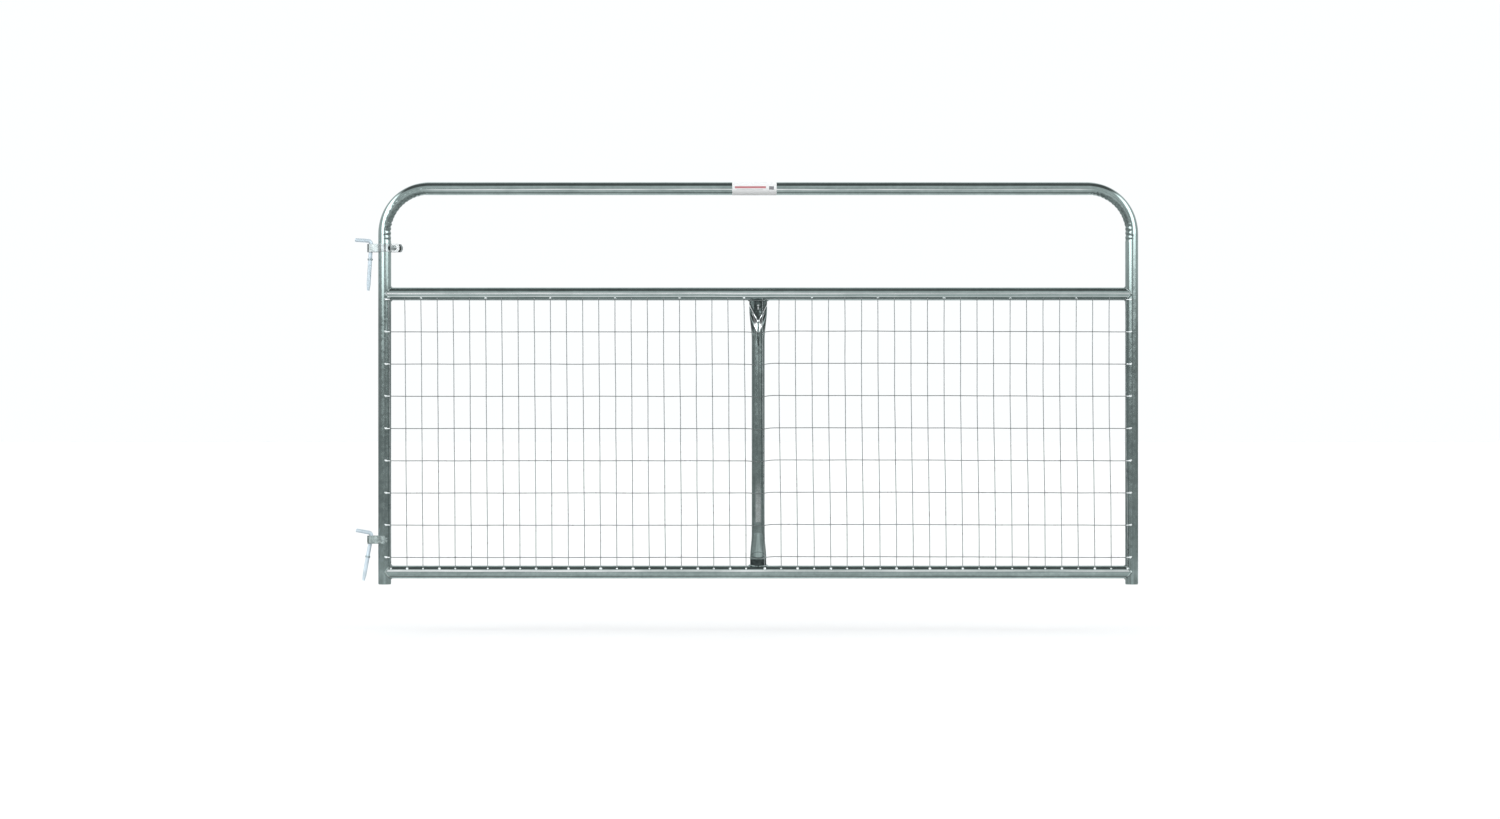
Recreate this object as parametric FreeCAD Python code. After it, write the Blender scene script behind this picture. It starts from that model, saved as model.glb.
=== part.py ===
import FreeCAD, Part
import math
import os

# Livestock panel gate: a bent-tube hoop with two rails, a centre brace and a welded wire mesh
# in the lower bay, hung from two hinge straps whose eyes each hold an L-shaped screw hook.
#
# Frame: the hinge axis is the Z axis and Z = 0 is the bottom of the gate. +X runs along the
# gate, away from the hinges. The mesh is on the -Y face. Millimetres.

# ---- Driving dimensions -------------------------------------------------------------------

GATE_WIDTH = 2400.0          # outside of one upright to outside of the other
GATE_HEIGHT = 1270.0         # feet to the top of the top rail
TUBE_OD = 41.3
TUBE_WALL = 1.6
BEND_RADIUS = 140.0          # centreline radius of the two top corners
MID_RAIL_Z = 916.8
BOTTOM_RAIL_Z = 38.8

HINGE_OFFSET = 43.9          # hinge axis to the axis of the hinge-side upright
UPPER_HINGE_Z = 1061.7
LOWER_HINGE_Z = 141.0
STRAP_HEIGHT = 25.4
STRAP_THICKNESS = 3.2
EYE_BORE = 18.0
WAIST_GAP = 1.5              # between the two legs of a strap, where they pinch together
CLAMP_CLEARANCE = 0.3        # between the sliding clamp and the upright
WELD_GAP = 0.05              # between a welded strap and the tube, bridged by the bead

EAR_CENTRE_Y = 14.0          # middle of each clamp ear's thickness
EAR_BEND_RADIUS = 3.6        # centreline radius of the bend between wrap and ear
FRONT_EAR_END = 91.6
REAR_EAR_END = 99.8
LOWER_WRAP_PAST_CENTRE = 6.0  # how far the welded strap reaches past the upright's axis
STRAP_END_ROUND = 18.0       # radius of the rounded strap ends
BOLT_X = 73.6
BOLT_D = 9.5
BOLT_HOLE_D = 10.4
NUT_ACROSS_FLATS = 14.3
NUT_HEIGHT = 8.2
HEX_EDGE = 0.2               # the chamfer starts this far inside the flats
HEX_CHAMFER_SLOPE = 1.7      # run of the chamfer for each unit of its height
BOLT_HEAD_HEIGHT = 6.2
LOCK_WASHER_OD = 16.8
LOCK_WASHER_HEIGHT = 2.4
LOCK_WASHER_PLAY = 0.3       # radial play on the bolt
LOCK_WASHER_SLOT = 1.0
LOCK_WASHER_SLOT_ANGLE = 25.0
BOLT_STICK_OUT = 5.0
BOLT_EDGE = 1.0
BOLT_PLAY = 0.05             # between the nut and the bolt

ROD_D = 12.1                 # plain part of the screw hook's rod
THREAD_D = 12.7              # outside of the thread
THREAD_BELOW_KEEPER = 1.0    # the thread starts this far under the keeper ring
HOOK_BEND_RADIUS = 11.0      # centreline
HOOK_ARM_REACH = 51.0        # shank axis to the arm's tip
UPPER_HOOK_LENGTH = 163.0    # top of the arm to the tip of the screw
LOWER_HOOK_LENGTH = 158.0
HOOK_POINT_LENGTH = 20.0
HOOK_POINT_D = 6.0
HOOK_EDGE = 1.2              # chamfer on the arm's tip
UPPER_HOOK_TILT = 3.5
LOWER_HOOK_TILT = 10.2
UPPER_ARM_RISE = 22.5        # middle of the eye to the arm's centreline
LOWER_ARM_RISE = 21.0
KEEPER_OD = 16.4
KEEPER_HEIGHT = 5.5
KEEPER_GRIP = 0.05           # radial play of the ring on the rod
KEEPER_EDGE = 1.0            # radius on the ring's edges
UPPER_KEEPER_DROP = 64.7     # top of the arm to the middle of the ring
LOWER_KEEPER_DROP = 81.5

WIRE_D = 2.5
MESH_ROWS = 9
MESH_ROW_PITCH = 101.6
MESH_FIRST_ROW_Z = 85.6
MESH_EDGE_INSET = 17.35      # edge wires sit this far inside the upright axes
LEFT_BAY_WIRES = 23
LEFT_BAY_PITCH = 50.95
RIGHT_BAY_WIRES = 23
RIGHT_BAY_PITCH = 52.05
ROW_END_INSET = 6.5          # end of a horizontal wire, from the upright's axis
WIRE_CLEARANCE = 0.05
MID_RAIL_TACK_FIRST = 2      # every fourth vertical wire is tacked to the mid rail
MID_RAIL_TACK_STEP = 4

BRACE_SET_BACK = 1.6         # the brace sits behind the mesh
BRACE_TOP_WIDTH = 56.0
BRACE_TOP_TAPER = 104.0
BRACE_BOTTOM_WIDTH = 51.0
BRACE_BOTTOM_TAPER = 82.0
BRACE_END_FLAT = 22.0        # length of full-width end outside each rail
BRACE_SQUARENESS = 0.8       # how fast the section squares up as it is pressed wider
BRACE_OUTLINE_POINTS = 24
BRACE_TAPER_STEPS = 5

RAIL_BEAD = 3.6              # leg of the bead round each coped rail end
RAIL_BEAD_START = 3.0        # the bead begins this far past the upright's axis
BRACE_BEAD = 2.8
STRAP_BEAD_RADIUS = 2.4
NUGGET_LARGE = 3.6
NUGGET_SMALL = 2.6
NUGGET_SINK = 0.5            # a nugget's middle lies this far behind its wire's axis
NUGGET_FROM_WIRE_END = 1.0   # and this far beyond a horizontal wire's end
STRAP_BEAD_SHARE = 0.6       # length of the lower strap's beads, as a share of its height
STRAP_BEAD_SET_OUT = 1.0     # from the tube's face to the bead's axis
STRAP_BEAD_GAP = 1.2         # from the strap's end to the bead's axis

LABEL_WIDTH = 140.0
LABEL_OFFSET = -12.0         # middle of the label, from the middle of the gate
LABEL_THICKNESS = 0.3
LABEL_GAP = 0.02             # adhesive under the label
LABEL_WRAP = 200.0           # degrees of the rail that the label covers

# ---- Worked-out dimensions ----------------------------------------------------------------

TUBE_R = TUBE_OD / 2
WIRE_R = WIRE_D / 2
ROD_R = ROD_D / 2
THREAD_R = THREAD_D / 2
LEFT_X = HINGE_OFFSET
RIGHT_X = LEFT_X + GATE_WIDTH - TUBE_OD
MID_X = (LEFT_X + RIGHT_X) / 2
TOP_RAIL_Z = GATE_HEIGHT - TUBE_R
EYE_MID_R = (EYE_BORE + STRAP_THICKNESS) / 2

# The horizontal wires rest on the front of the uprights at their ends; the vertical wires lie
# behind them and rest on the front of both rails.
ROW_Y = -(math.sqrt(TUBE_R ** 2 - ROW_END_INSET ** 2) + WIRE_R + WIRE_CLEARANCE)
COLUMN_Y = ROW_Y + WIRE_D
COLUMN_BACK = -COLUMN_Y - WIRE_R + WIRE_CLEARANCE
COLUMN_REST = math.sqrt(TUBE_R ** 2 - COLUMN_BACK ** 2)
COLUMN_BOTTOM_Z = BOTTOM_RAIL_Z + COLUMN_REST
COLUMN_TOP_Z = MID_RAIL_Z - COLUMN_REST

X = FreeCAD.Vector(1, 0, 0)
Y = FreeCAD.Vector(0, 1, 0)
Z = FreeCAD.Vector(0, 0, 1)


def vec(x, y, z):
    return FreeCAD.Vector(x, y, z)


def save(name, *shapes):
    """Write one node: a single solid, or a group of separate solids."""
    shape = shapes[0] if len(shapes) == 1 else Part.makeCompound(list(shapes))
    shape.exportStep("parts/" + name + ".step")


def rod(start, end, radius):
    return Part.makeCylinder(radius, (end - start).Length, start, end - start)


def band_outline(at, inner, outer, start, end):
    """Closed outline between two arcs. at(radius, degrees) gives a point in the band's plane."""
    middle = (start + end) / 2
    return Part.Wire([
        Part.Arc(at(inner, start), at(inner, middle), at(inner, end)).toShape(),
        Part.makeLine(at(inner, end), at(outer, end)),
        Part.Arc(at(outer, end), at(outer, middle), at(outer, start)).toShape(),
        Part.makeLine(at(outer, start), at(inner, start)),
    ])


# ---- Tubes --------------------------------------------------------------------------------

def corner_bend(centre_x, radius, side):
    """Quarter bend at one top corner; side is -1 at the hinge end and +1 at the latch end."""
    low_z = TOP_RAIL_Z - BEND_RADIUS
    circle = Part.makeCircle(radius, vec(centre_x + side * BEND_RADIUS, 0, low_z), Z)
    section = Part.Face(Part.Wire(circle))
    return section.revolve(vec(centre_x, 0, low_z), Y, -90 * side)


def hoop_solid(radius, overrun):
    """Everything within radius of the hoop's centreline, run past the open ends by overrun."""
    bend_z = TOP_RAIL_Z - BEND_RADIUS
    left_bend_x = LEFT_X + BEND_RADIUS
    right_bend_x = RIGHT_X - BEND_RADIUS
    return rod(vec(left_bend_x, 0, TOP_RAIL_Z), vec(right_bend_x, 0, TOP_RAIL_Z), radius).fuse([
        corner_bend(left_bend_x, radius, -1),
        corner_bend(right_bend_x, radius, 1),
        rod(vec(LEFT_X, 0, -overrun), vec(LEFT_X, 0, bend_z), radius),
        rod(vec(RIGHT_X, 0, -overrun), vec(RIGHT_X, 0, bend_z), radius),
    ])


def frame_hoop():
    return hoop_solid(TUBE_R, 0).cut(hoop_solid(TUBE_R - TUBE_WALL, 5)).removeSplitter()


def upright_solids():
    """The space that the two uprights fill, for coping what meets them."""
    top = TOP_RAIL_Z - BEND_RADIUS
    return [rod(vec(x, 0, 0), vec(x, 0, top), TUBE_R) for x in (LEFT_X, RIGHT_X)]


def rail_solid(z, radius):
    return rod(vec(LEFT_X, 0, z), vec(RIGHT_X, 0, z), radius)


def rail(z):
    """A cross tube, coped to fit the round uprights at both ends."""
    tube = rail_solid(z, TUBE_R).cut(rail_solid(z, TUBE_R - TUBE_WALL))
    for upright in upright_solids():
        tube = tube.cut(upright)
    return tube


# ---- Centre brace -------------------------------------------------------------------------

def brace_section(z, width, inset):
    """Closed outline of the brace at one height, pressed from round to the given width."""
    depth = (math.pi * TUBE_OD - 2 * width) / (math.pi - 2)
    squareness = 2 + BRACE_SQUARENESS * (width - TUBE_OD) / TUBE_OD
    half_width = width / 2 - inset
    half_depth = depth / 2 - inset
    points = []
    for step in range(BRACE_OUTLINE_POINTS):
        angle = 2 * math.pi * step / BRACE_OUTLINE_POINTS
        c, s = math.cos(angle), math.sin(angle)
        x = half_width * math.copysign(abs(c) ** (2 / squareness), c)
        y = half_depth * math.copysign(abs(s) ** (2 / squareness), s)
        points.append(vec(MID_X + x, BRACE_SET_BACK + y, z))
    curve = Part.BSplineCurve()
    curve.interpolate(Points=points, PeriodicFlag=True)
    return Part.Wire(curve.toShape())


def brace_end(rail_z, side, width, taper, inset):
    """One pressed end: full width at the rail, blending to round over the taper."""
    flat_z = rail_z + side * (TUBE_R + BRACE_END_FLAT)
    wires = [brace_section(rail_z, width, inset)]
    for step in range(BRACE_TAPER_STEPS + 1):
        part = step / BRACE_TAPER_STEPS
        blend = 1 - part * part * (3 - 2 * part)
        here = TUBE_OD + (width - TUBE_OD) * blend
        wires.append(brace_section(flat_z + side * part * taper, here, inset))
    round_z = flat_z + side * taper
    return Part.makeLoft(wires, True, False), round_z


def brace_solid(inset):
    bottom, low_z = brace_end(BOTTOM_RAIL_Z, 1, BRACE_BOTTOM_WIDTH, BRACE_BOTTOM_TAPER, inset)
    top, high_z = brace_end(MID_RAIL_Z, -1, BRACE_TOP_WIDTH, BRACE_TOP_TAPER, inset)
    middle = Part.Face(brace_section(low_z, TUBE_OD, inset)).extrude(Z * (high_z - low_z))
    return middle.fuse([bottom, top]).removeSplitter()


def center_brace():
    brace = brace_solid(0).cut(brace_solid(TUBE_WALL))
    for z in (BOTTOM_RAIL_Z, MID_RAIL_Z):
        brace = brace.cut(rail_solid(z, TUBE_R))
    return brace


# ---- Wire mesh ----------------------------------------------------------------------------

def column_places():
    """X of each vertical wire: two runs of mesh, one from each upright."""
    left = [LEFT_X + MESH_EDGE_INSET + i * LEFT_BAY_PITCH for i in range(LEFT_BAY_WIRES)]
    right = [RIGHT_X - MESH_EDGE_INSET - i * RIGHT_BAY_PITCH for i in range(RIGHT_BAY_WIRES)]
    return left + right[::-1]


def row_places():
    return [MESH_FIRST_ROW_Z + i * MESH_ROW_PITCH for i in range(MESH_ROWS)]


def column_wire(x):
    return rod(vec(x, COLUMN_Y, COLUMN_BOTTOM_Z), vec(x, COLUMN_Y, COLUMN_TOP_Z), WIRE_R)


def row_wire(z):
    start = LEFT_X + ROW_END_INSET
    end = RIGHT_X - ROW_END_INSET
    return rod(vec(start, ROW_Y, z), vec(end, ROW_Y, z), WIRE_R)


def nugget(centre, radius, *neighbours):
    """A blob of weld metal, cut back to the pieces that it joins."""
    blob = Part.makeSphere(radius, centre)
    for piece in neighbours:
        blob = blob.cut(piece)
    return max(blob.Solids, key=lambda solid: solid.Volume)


def rail_nuggets(z_end, rail_z, places, sizes, corner_beads):
    """Nuggets that hold vertical wire ends to a rail, clear of the beads at the rail's ends."""
    tube = rail_solid(rail_z, TUBE_R)
    blobs = []
    for place, size in zip(places, sizes):
        near = [bead for bead in corner_beads
                if bead.BoundBox.XMin - size < place < bead.BoundBox.XMax + size]
        centre = vec(place, COLUMN_Y + NUGGET_SINK, z_end)
        blobs.append(nugget(centre, size, tube, column_wire(place), *near))
    return blobs


def upright_nuggets(upright_x, inward):
    """Nuggets that hold the horizontal wires' ends to one upright."""
    tube = rod(vec(upright_x, 0, 0), vec(upright_x, 0, MID_RAIL_Z), TUBE_R)
    blobs = []
    for z in row_places():
        reach = ROW_END_INSET - NUGGET_FROM_WIRE_END
        centre = vec(upright_x + inward * reach, ROW_Y + NUGGET_SINK, z)
        blobs.append(nugget(centre, NUGGET_LARGE, tube, row_wire(z)))
    return blobs


# ---- Weld beads ---------------------------------------------------------------------------

def saddle_bead(upright_x, inward, rail_z):
    """Bead round the joint of a rail and an upright: what lies close to both tubes."""
    fat = TUBE_R + RAIL_BEAD
    start = vec(upright_x + inward * RAIL_BEAD_START, 0, rail_z)
    near_rail = rod(start, start + X * (inward * 2 * TUBE_R), fat)
    near_upright = rod(vec(upright_x, 0, rail_z - 2 * TUBE_R),
                       vec(upright_x, 0, rail_z + 2 * TUBE_R), fat)
    tube = rod(vec(upright_x, 0, rail_z - 3 * TUBE_R), vec(upright_x, 0, rail_z + 3 * TUBE_R),
               TUBE_R)
    edge_wire = column_wire(upright_x + inward * MESH_EDGE_INSET)
    bead = near_rail.common(near_upright).cut(tube).cut(rail_solid(rail_z, TUBE_R))
    return max(bead.cut(edge_wire).Solids, key=lambda solid: solid.Volume)


def brace_bead(rail_z, side, width, brace):
    """Bead round the pressed end of the brace; side is the way from the rail to the brace."""
    reach = Z * (side * (TUBE_R + BRACE_END_FLAT))
    around = Part.Face(brace_section(rail_z, width, -BRACE_BEAD)).extrude(reach)
    near_rail = rail_solid(rail_z, TUBE_R + BRACE_BEAD)
    bead = around.cut(brace).common(near_rail).cut(rail_solid(rail_z, TUBE_R))
    return max(bead.Solids, key=lambda solid: solid.Volume)


# ---- Label --------------------------------------------------------------------------------

def label():
    """A plain sticker wrapped over the front of the top rail."""
    start = MID_X + LABEL_OFFSET - LABEL_WIDTH / 2
    inner = TUBE_R + LABEL_GAP

    def at(radius, degrees):
        angle = math.radians(degrees)
        return vec(start, radius * math.cos(angle), TOP_RAIL_Z + radius * math.sin(angle))

    outline = band_outline(at, inner, inner + LABEL_THICKNESS,
                           180 - LABEL_WRAP / 2, 180 + LABEL_WRAP / 2)
    return Part.Face(outline).extrude(X * LABEL_WIDTH)


# ---- Hinge straps -------------------------------------------------------------------------

def arc_band(cx, cy, radius, start, end):
    """A curved stretch of strap: centre, centreline radius and its two angles in degrees."""
    def at(r, degrees):
        angle = math.radians(degrees)
        return vec(cx + r * math.cos(angle), cy + r * math.sin(angle), 0)

    half = STRAP_THICKNESS / 2
    outline = band_outline(at, radius - half, radius + half, start, end)
    return Part.Face(outline).extrude(Z * STRAP_HEIGHT)


def waist_arc(wrap_radius):
    """Radius and centre of the arc that joins the eye to the wrap on the +Y side."""
    gap = (WAIST_GAP + STRAP_THICKNESS) / 2
    low, high = 1.0, 60.0
    for _ in range(60):
        radius = (low + high) / 2
        far = wrap_radius + radius
        near = EYE_MID_R + radius
        x = (near ** 2 - far ** 2 + HINGE_OFFSET ** 2) / (2 * HINGE_OFFSET)
        height = math.sqrt(near ** 2 - x * x)
        if height > gap + radius:
            low = radius
        else:
            high = radius
    return radius, x, height


def strap_half(wrap_radius, wrap_end):
    """Waist and wrap of one leg, on the +Y side. wrap_end is an angle about the upright."""
    radius, x, y = waist_arc(wrap_radius)
    to_eye = math.degrees(math.atan2(-y, -x))
    to_upright = math.degrees(math.atan2(-y, HINGE_OFFSET - x))
    wrap_start = 180 + to_upright
    return [
        arc_band(x, y, radius, to_eye, to_upright),
        arc_band(HINGE_OFFSET, 0, wrap_radius, wrap_end, wrap_start),
    ]


def strap_eye(wrap_radius):
    _, x, y = waist_arc(wrap_radius)
    mouth = math.degrees(math.atan2(y, x))
    return arc_band(0, 0, EYE_MID_R, mouth, 360 - mouth)


def beyond(x, side):
    """The space past x on one side of the strap, +1 for +Y and -1 for -Y."""
    size = 3 * TUBE_OD
    return Part.makeBox(size, size, STRAP_HEIGHT, vec(x, 0 if side > 0 else -size, 0))


def round_end(strap, x_end, side):
    """Round the end of the leg on one side of the strap."""
    middle = vec(x_end - STRAP_END_ROUND, 0, STRAP_HEIGHT / 2)
    keep = rod(middle - Y * TUBE_OD, middle + Y * TUBE_OD, STRAP_END_ROUND)
    return strap.cut(beyond(x_end - STRAP_END_ROUND / 3, side).cut(keep))


def mirrored(shape):
    return shape.mirror(vec(0, 0, 0), Y)


def joined_strap(wrap_radius, half):
    """The eye with one leg on each side, standing on Z = 0."""
    pieces = half + [mirrored(piece) for piece in half]
    return strap_eye(wrap_radius).fuse(pieces).removeSplitter()


def at_hinge(strap, hinge_z):
    strap.translate(vec(0, 0, hinge_z - STRAP_HEIGHT / 2))
    return strap


def upper_hinge_strap():
    """Clamp strap: eye, pinched waist, wraps round the upright and two bolted ears."""
    wrap = TUBE_R + CLAMP_CLEARANCE + STRAP_THICKNESS / 2
    bend_y = EAR_CENTRE_Y + EAR_BEND_RADIUS
    bend_dx = math.sqrt((wrap + EAR_BEND_RADIUS) ** 2 - bend_y ** 2)
    bend_x = HINGE_OFFSET + bend_dx
    wrap_end = math.degrees(math.atan2(bend_y, bend_dx))
    half = strap_half(wrap, wrap_end)
    half.append(arc_band(bend_x, bend_y, EAR_BEND_RADIUS, 180 + wrap_end, 270))
    ear_low = EAR_CENTRE_Y - STRAP_THICKNESS / 2
    ear = Part.makeBox(REAR_EAR_END - bend_x, STRAP_THICKNESS, STRAP_HEIGHT,
                       vec(bend_x, ear_low, 0))
    half.append(ear)
    strap = joined_strap(wrap, half).cut(beyond(FRONT_EAR_END, -1))
    strap = round_end(strap, FRONT_EAR_END, -1)
    strap = round_end(strap, REAR_EAR_END, 1)
    middle = vec(BOLT_X, 0, STRAP_HEIGHT / 2)
    hole = rod(middle - Y * TUBE_OD, middle + Y * TUBE_OD, BOLT_HOLE_D / 2)
    return at_hinge(strap.cut(hole), UPPER_HINGE_Z)


def lower_wrap_radius():
    return TUBE_R + WELD_GAP + STRAP_THICKNESS / 2


def lower_hinge_strap():
    """Welded strap: eye, pinched waist and two short wraps on the upright."""
    wrap = lower_wrap_radius()
    wrap_end = math.degrees(math.acos(LOWER_WRAP_PAST_CENTRE / wrap))
    strap = joined_strap(wrap, strap_half(wrap, wrap_end))
    x_end = HINGE_OFFSET + LOWER_WRAP_PAST_CENTRE
    strap = round_end(round_end(strap, x_end, 1), x_end, -1)
    return at_hinge(strap, LOWER_HINGE_Z)


def lower_hinge_beads():
    """A short upright bead on the end of each leg of the welded strap."""
    strap = lower_hinge_strap()
    tube = rod(vec(LEFT_X, 0, 0), vec(LEFT_X, 0, MID_RAIL_Z), TUBE_R)
    x = HINGE_OFFSET + LOWER_WRAP_PAST_CENTRE + STRAP_BEAD_GAP
    y = math.sqrt((TUBE_R + STRAP_BEAD_SET_OUT) ** 2 - (x - HINGE_OFFSET) ** 2)
    half_length = STRAP_HEIGHT * STRAP_BEAD_SHARE / 2
    beads = []
    for side in (-1, 1):
        low = vec(x, side * y, LOWER_HINGE_Z - half_length)
        high = vec(x, side * y, LOWER_HINGE_Z + half_length)
        bead = rod(low, high, STRAP_BEAD_RADIUS).fuse([
            Part.makeSphere(STRAP_BEAD_RADIUS, low),
            Part.makeSphere(STRAP_BEAD_RADIUS, high),
        ])
        bead = bead.cut(tube).cut(strap)
        beads.append(max(bead.Solids, key=lambda solid: solid.Volume))
    return beads


# ---- Clamp fasteners ----------------------------------------------------------------------

def hexagon(y_start, height, chamfer_side):
    """A hexagonal prism along +Y on the bolt's axis, corners left and right.

    chamfer_side is -1 for a chamfer on the face at y_start and +1 for one on the far face.
    """
    corner = NUT_ACROSS_FLATS / math.sqrt(3)
    points = []
    for step in range(7):
        angle = math.radians(60 * step)
        x = BOLT_X + corner * math.cos(angle)
        z = UPPER_HINGE_Z + corner * math.sin(angle)
        points.append(vec(x, y_start, z))
    prism = Part.Face(Part.makePolygon(points)).extrude(Y * height)
    narrow = NUT_ACROSS_FLATS / 2 - HEX_EDGE
    start = on_bolt(y_start if chamfer_side < 0 else y_start + height)
    cone = Part.makeCone(narrow, narrow + height * HEX_CHAMFER_SLOPE, height,
                         start, Y * -chamfer_side)
    return prism.common(cone)


def on_bolt(y):
    return vec(BOLT_X, y, UPPER_HINGE_Z)


def clamp_nut():
    """Hexagon nut on the front ear, chamfered on its outer face."""
    outer_face = -(EAR_CENTRE_Y + STRAP_THICKNESS / 2 + LOCK_WASHER_HEIGHT + NUT_HEIGHT)
    bore = rod(on_bolt(outer_face - 1), on_bolt(0), BOLT_D / 2 + BOLT_PLAY)
    return hexagon(outer_face, NUT_HEIGHT, -1).cut(bore)


def clamp_bolt():
    """Hexagon bolt from the rear ear to the front one."""
    ear_face = EAR_CENTRE_Y + STRAP_THICKNESS / 2
    tip_y = -(ear_face + LOCK_WASHER_HEIGHT + NUT_HEIGHT + BOLT_STICK_OUT)
    shank = rod(on_bolt(tip_y + BOLT_EDGE), on_bolt(ear_face), BOLT_D / 2)
    nose = Part.makeCone(BOLT_D / 2 - BOLT_EDGE, BOLT_D / 2, BOLT_EDGE, on_bolt(tip_y), Y)
    return hexagon(ear_face, BOLT_HEAD_HEIGHT, 1).fuse([shank, nose]).removeSplitter()


def clamp_lock_washer():
    """Split spring washer under the nut."""
    face = -(EAR_CENTRE_Y + STRAP_THICKNESS / 2)
    start = on_bolt(face - LOCK_WASHER_HEIGHT)
    end = on_bolt(face)
    bore = rod(start, end, BOLT_D / 2 + LOCK_WASHER_PLAY)
    depth = 3 * LOCK_WASHER_HEIGHT
    slot = Part.makeBox(LOCK_WASHER_SLOT, depth, LOCK_WASHER_OD)
    slot.translate(vec(-LOCK_WASHER_SLOT / 2, -depth / 2, 0))
    slot.rotate(vec(0, 0, 0), Z, LOCK_WASHER_SLOT_ANGLE)
    slot.translate(on_bolt(face - LOCK_WASHER_HEIGHT / 2))
    return rod(start, end, LOCK_WASHER_OD / 2).cut(bore).cut(slot)


# ---- Screw hooks --------------------------------------------------------------------------

def place_hook(shape, hinge_z, tilt):
    """Hang a hook made about the eye's middle in its eye, leaning by tilt degrees."""
    shape.rotate(vec(0, 0, 0), Y, tilt)
    shape.translate(vec(0, 0, hinge_z))
    return shape


def screw_hook(length, arm_rise, keeper_drop, hinge_z, tilt):
    """L-shaped hook: short pin arm towards -X, and a long screw shank down the eye."""
    bend_z = arm_rise - HOOK_BEND_RADIUS
    top_z = arm_rise + ROD_R
    thread_top = top_z - keeper_drop - KEEPER_HEIGHT / 2 - THREAD_BELOW_KEEPER
    thread_end = top_z - length + HOOK_POINT_LENGTH
    arm_end = -HOOK_ARM_REACH + HOOK_EDGE
    arm = rod(vec(-HOOK_BEND_RADIUS, 0, arm_rise), vec(arm_end, 0, arm_rise), ROD_R)
    edge = Part.makeCone(ROD_R, ROD_R - HOOK_EDGE, HOOK_EDGE, vec(arm_end, 0, arm_rise), -X)
    section = Part.Face(Part.Wire(Part.makeCircle(ROD_R, vec(0, 0, bend_z), Z)))
    bend = section.revolve(vec(-HOOK_BEND_RADIUS, 0, bend_z), Y, -90)
    shank = rod(vec(0, 0, thread_top), vec(0, 0, bend_z), ROD_R)
    thread = rod(vec(0, 0, thread_end), vec(0, 0, thread_top), THREAD_R)
    point = Part.makeCone(THREAD_R, HOOK_POINT_D / 2, HOOK_POINT_LENGTH,
                          vec(0, 0, thread_end), -Z)
    hook = shank.fuse([thread, bend, arm, edge, point]).removeSplitter()
    return place_hook(hook, hinge_z, tilt)


def keeper_ring(arm_rise, drop, hinge_z, tilt):
    """Push-on ring that keeps the hook's shank in its eye."""
    middle = arm_rise + ROD_R - drop
    low = vec(0, 0, middle - KEEPER_HEIGHT / 2)
    high = vec(0, 0, middle + KEEPER_HEIGHT / 2)
    ring = rod(low, high, KEEPER_OD / 2)
    edges = [edge for edge in ring.Edges if edge.Curve.TypeId == "Part::GeomCircle"]
    ring = ring.makeFillet(KEEPER_EDGE, edges)
    ring = ring.cut(rod(low, high, ROD_R + KEEPER_GRIP))
    return place_hook(ring, hinge_z, tilt)


# ---- Write every node ---------------------------------------------------------------------

os.makedirs("parts", exist_ok=True)

save("frame_hoop", frame_hoop())
save("mid_rail", rail(MID_RAIL_Z))
save("bottom_rail", rail(BOTTOM_RAIL_Z))
save("center_brace", center_brace())

corner_joints = {
    "mid_rail_weld_hinge_end": saddle_bead(LEFT_X, 1, MID_RAIL_Z),
    "mid_rail_weld_latch_end": saddle_bead(RIGHT_X, -1, MID_RAIL_Z),
    "bottom_rail_weld_hinge_end": saddle_bead(LEFT_X, 1, BOTTOM_RAIL_Z),
    "bottom_rail_weld_latch_end": saddle_bead(RIGHT_X, -1, BOTTOM_RAIL_Z),
}
for name, bead in corner_joints.items():
    save(name, bead)
brace = brace_solid(0)
save("brace_top_weld", brace_bead(MID_RAIL_Z, -1, BRACE_TOP_WIDTH, brace))
save("brace_bottom_weld", brace_bead(BOTTOM_RAIL_Z, 1, BRACE_BOTTOM_WIDTH, brace))

columns = column_places()
rows = row_places()
save("mesh_vertical_wires", *[column_wire(x) for x in columns])
save("mesh_horizontal_wires", *[row_wire(z) for z in rows])

bottom_sizes = [NUGGET_LARGE if i % 2 else NUGGET_SMALL for i in range(len(columns))]
tacked = columns[MID_RAIL_TACK_FIRST::MID_RAIL_TACK_STEP]
tack_sizes = [NUGGET_LARGE] * len(tacked)
beads = list(corner_joints.values())
save("mesh_welds_bottom_rail",
     *rail_nuggets(COLUMN_BOTTOM_Z, BOTTOM_RAIL_Z, columns, bottom_sizes, beads))
save("mesh_welds_mid_rail",
     *rail_nuggets(COLUMN_TOP_Z, MID_RAIL_Z, tacked, tack_sizes, beads))
save("mesh_welds_hinge_upright", *upright_nuggets(LEFT_X, 1))
save("mesh_welds_latch_upright", *upright_nuggets(RIGHT_X, -1))

save("label", label())

save("lower_hinge_strap", lower_hinge_strap())
save("lower_hinge_welds", *lower_hinge_beads())
save("lower_hook",
     screw_hook(LOWER_HOOK_LENGTH, LOWER_ARM_RISE, LOWER_KEEPER_DROP, LOWER_HINGE_Z,
                LOWER_HOOK_TILT))
save("lower_keeper_ring",
     keeper_ring(LOWER_ARM_RISE, LOWER_KEEPER_DROP, LOWER_HINGE_Z, LOWER_HOOK_TILT))

save("upper_hinge_strap", upper_hinge_strap())
save("clamp_bolt", clamp_bolt())
save("clamp_nut", clamp_nut())
save("clamp_lock_washer", clamp_lock_washer())
save("upper_hook",
     screw_hook(UPPER_HOOK_LENGTH, UPPER_ARM_RISE, UPPER_KEEPER_DROP, UPPER_HINGE_Z,
                UPPER_HOOK_TILT))
save("upper_keeper_ring",
     keeper_ring(UPPER_ARM_RISE, UPPER_KEEPER_DROP, UPPER_HINGE_Z, UPPER_HOOK_TILT))
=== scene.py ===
import math

import bmesh
import bpy
from mathutils import Matrix, Vector, noise

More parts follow.
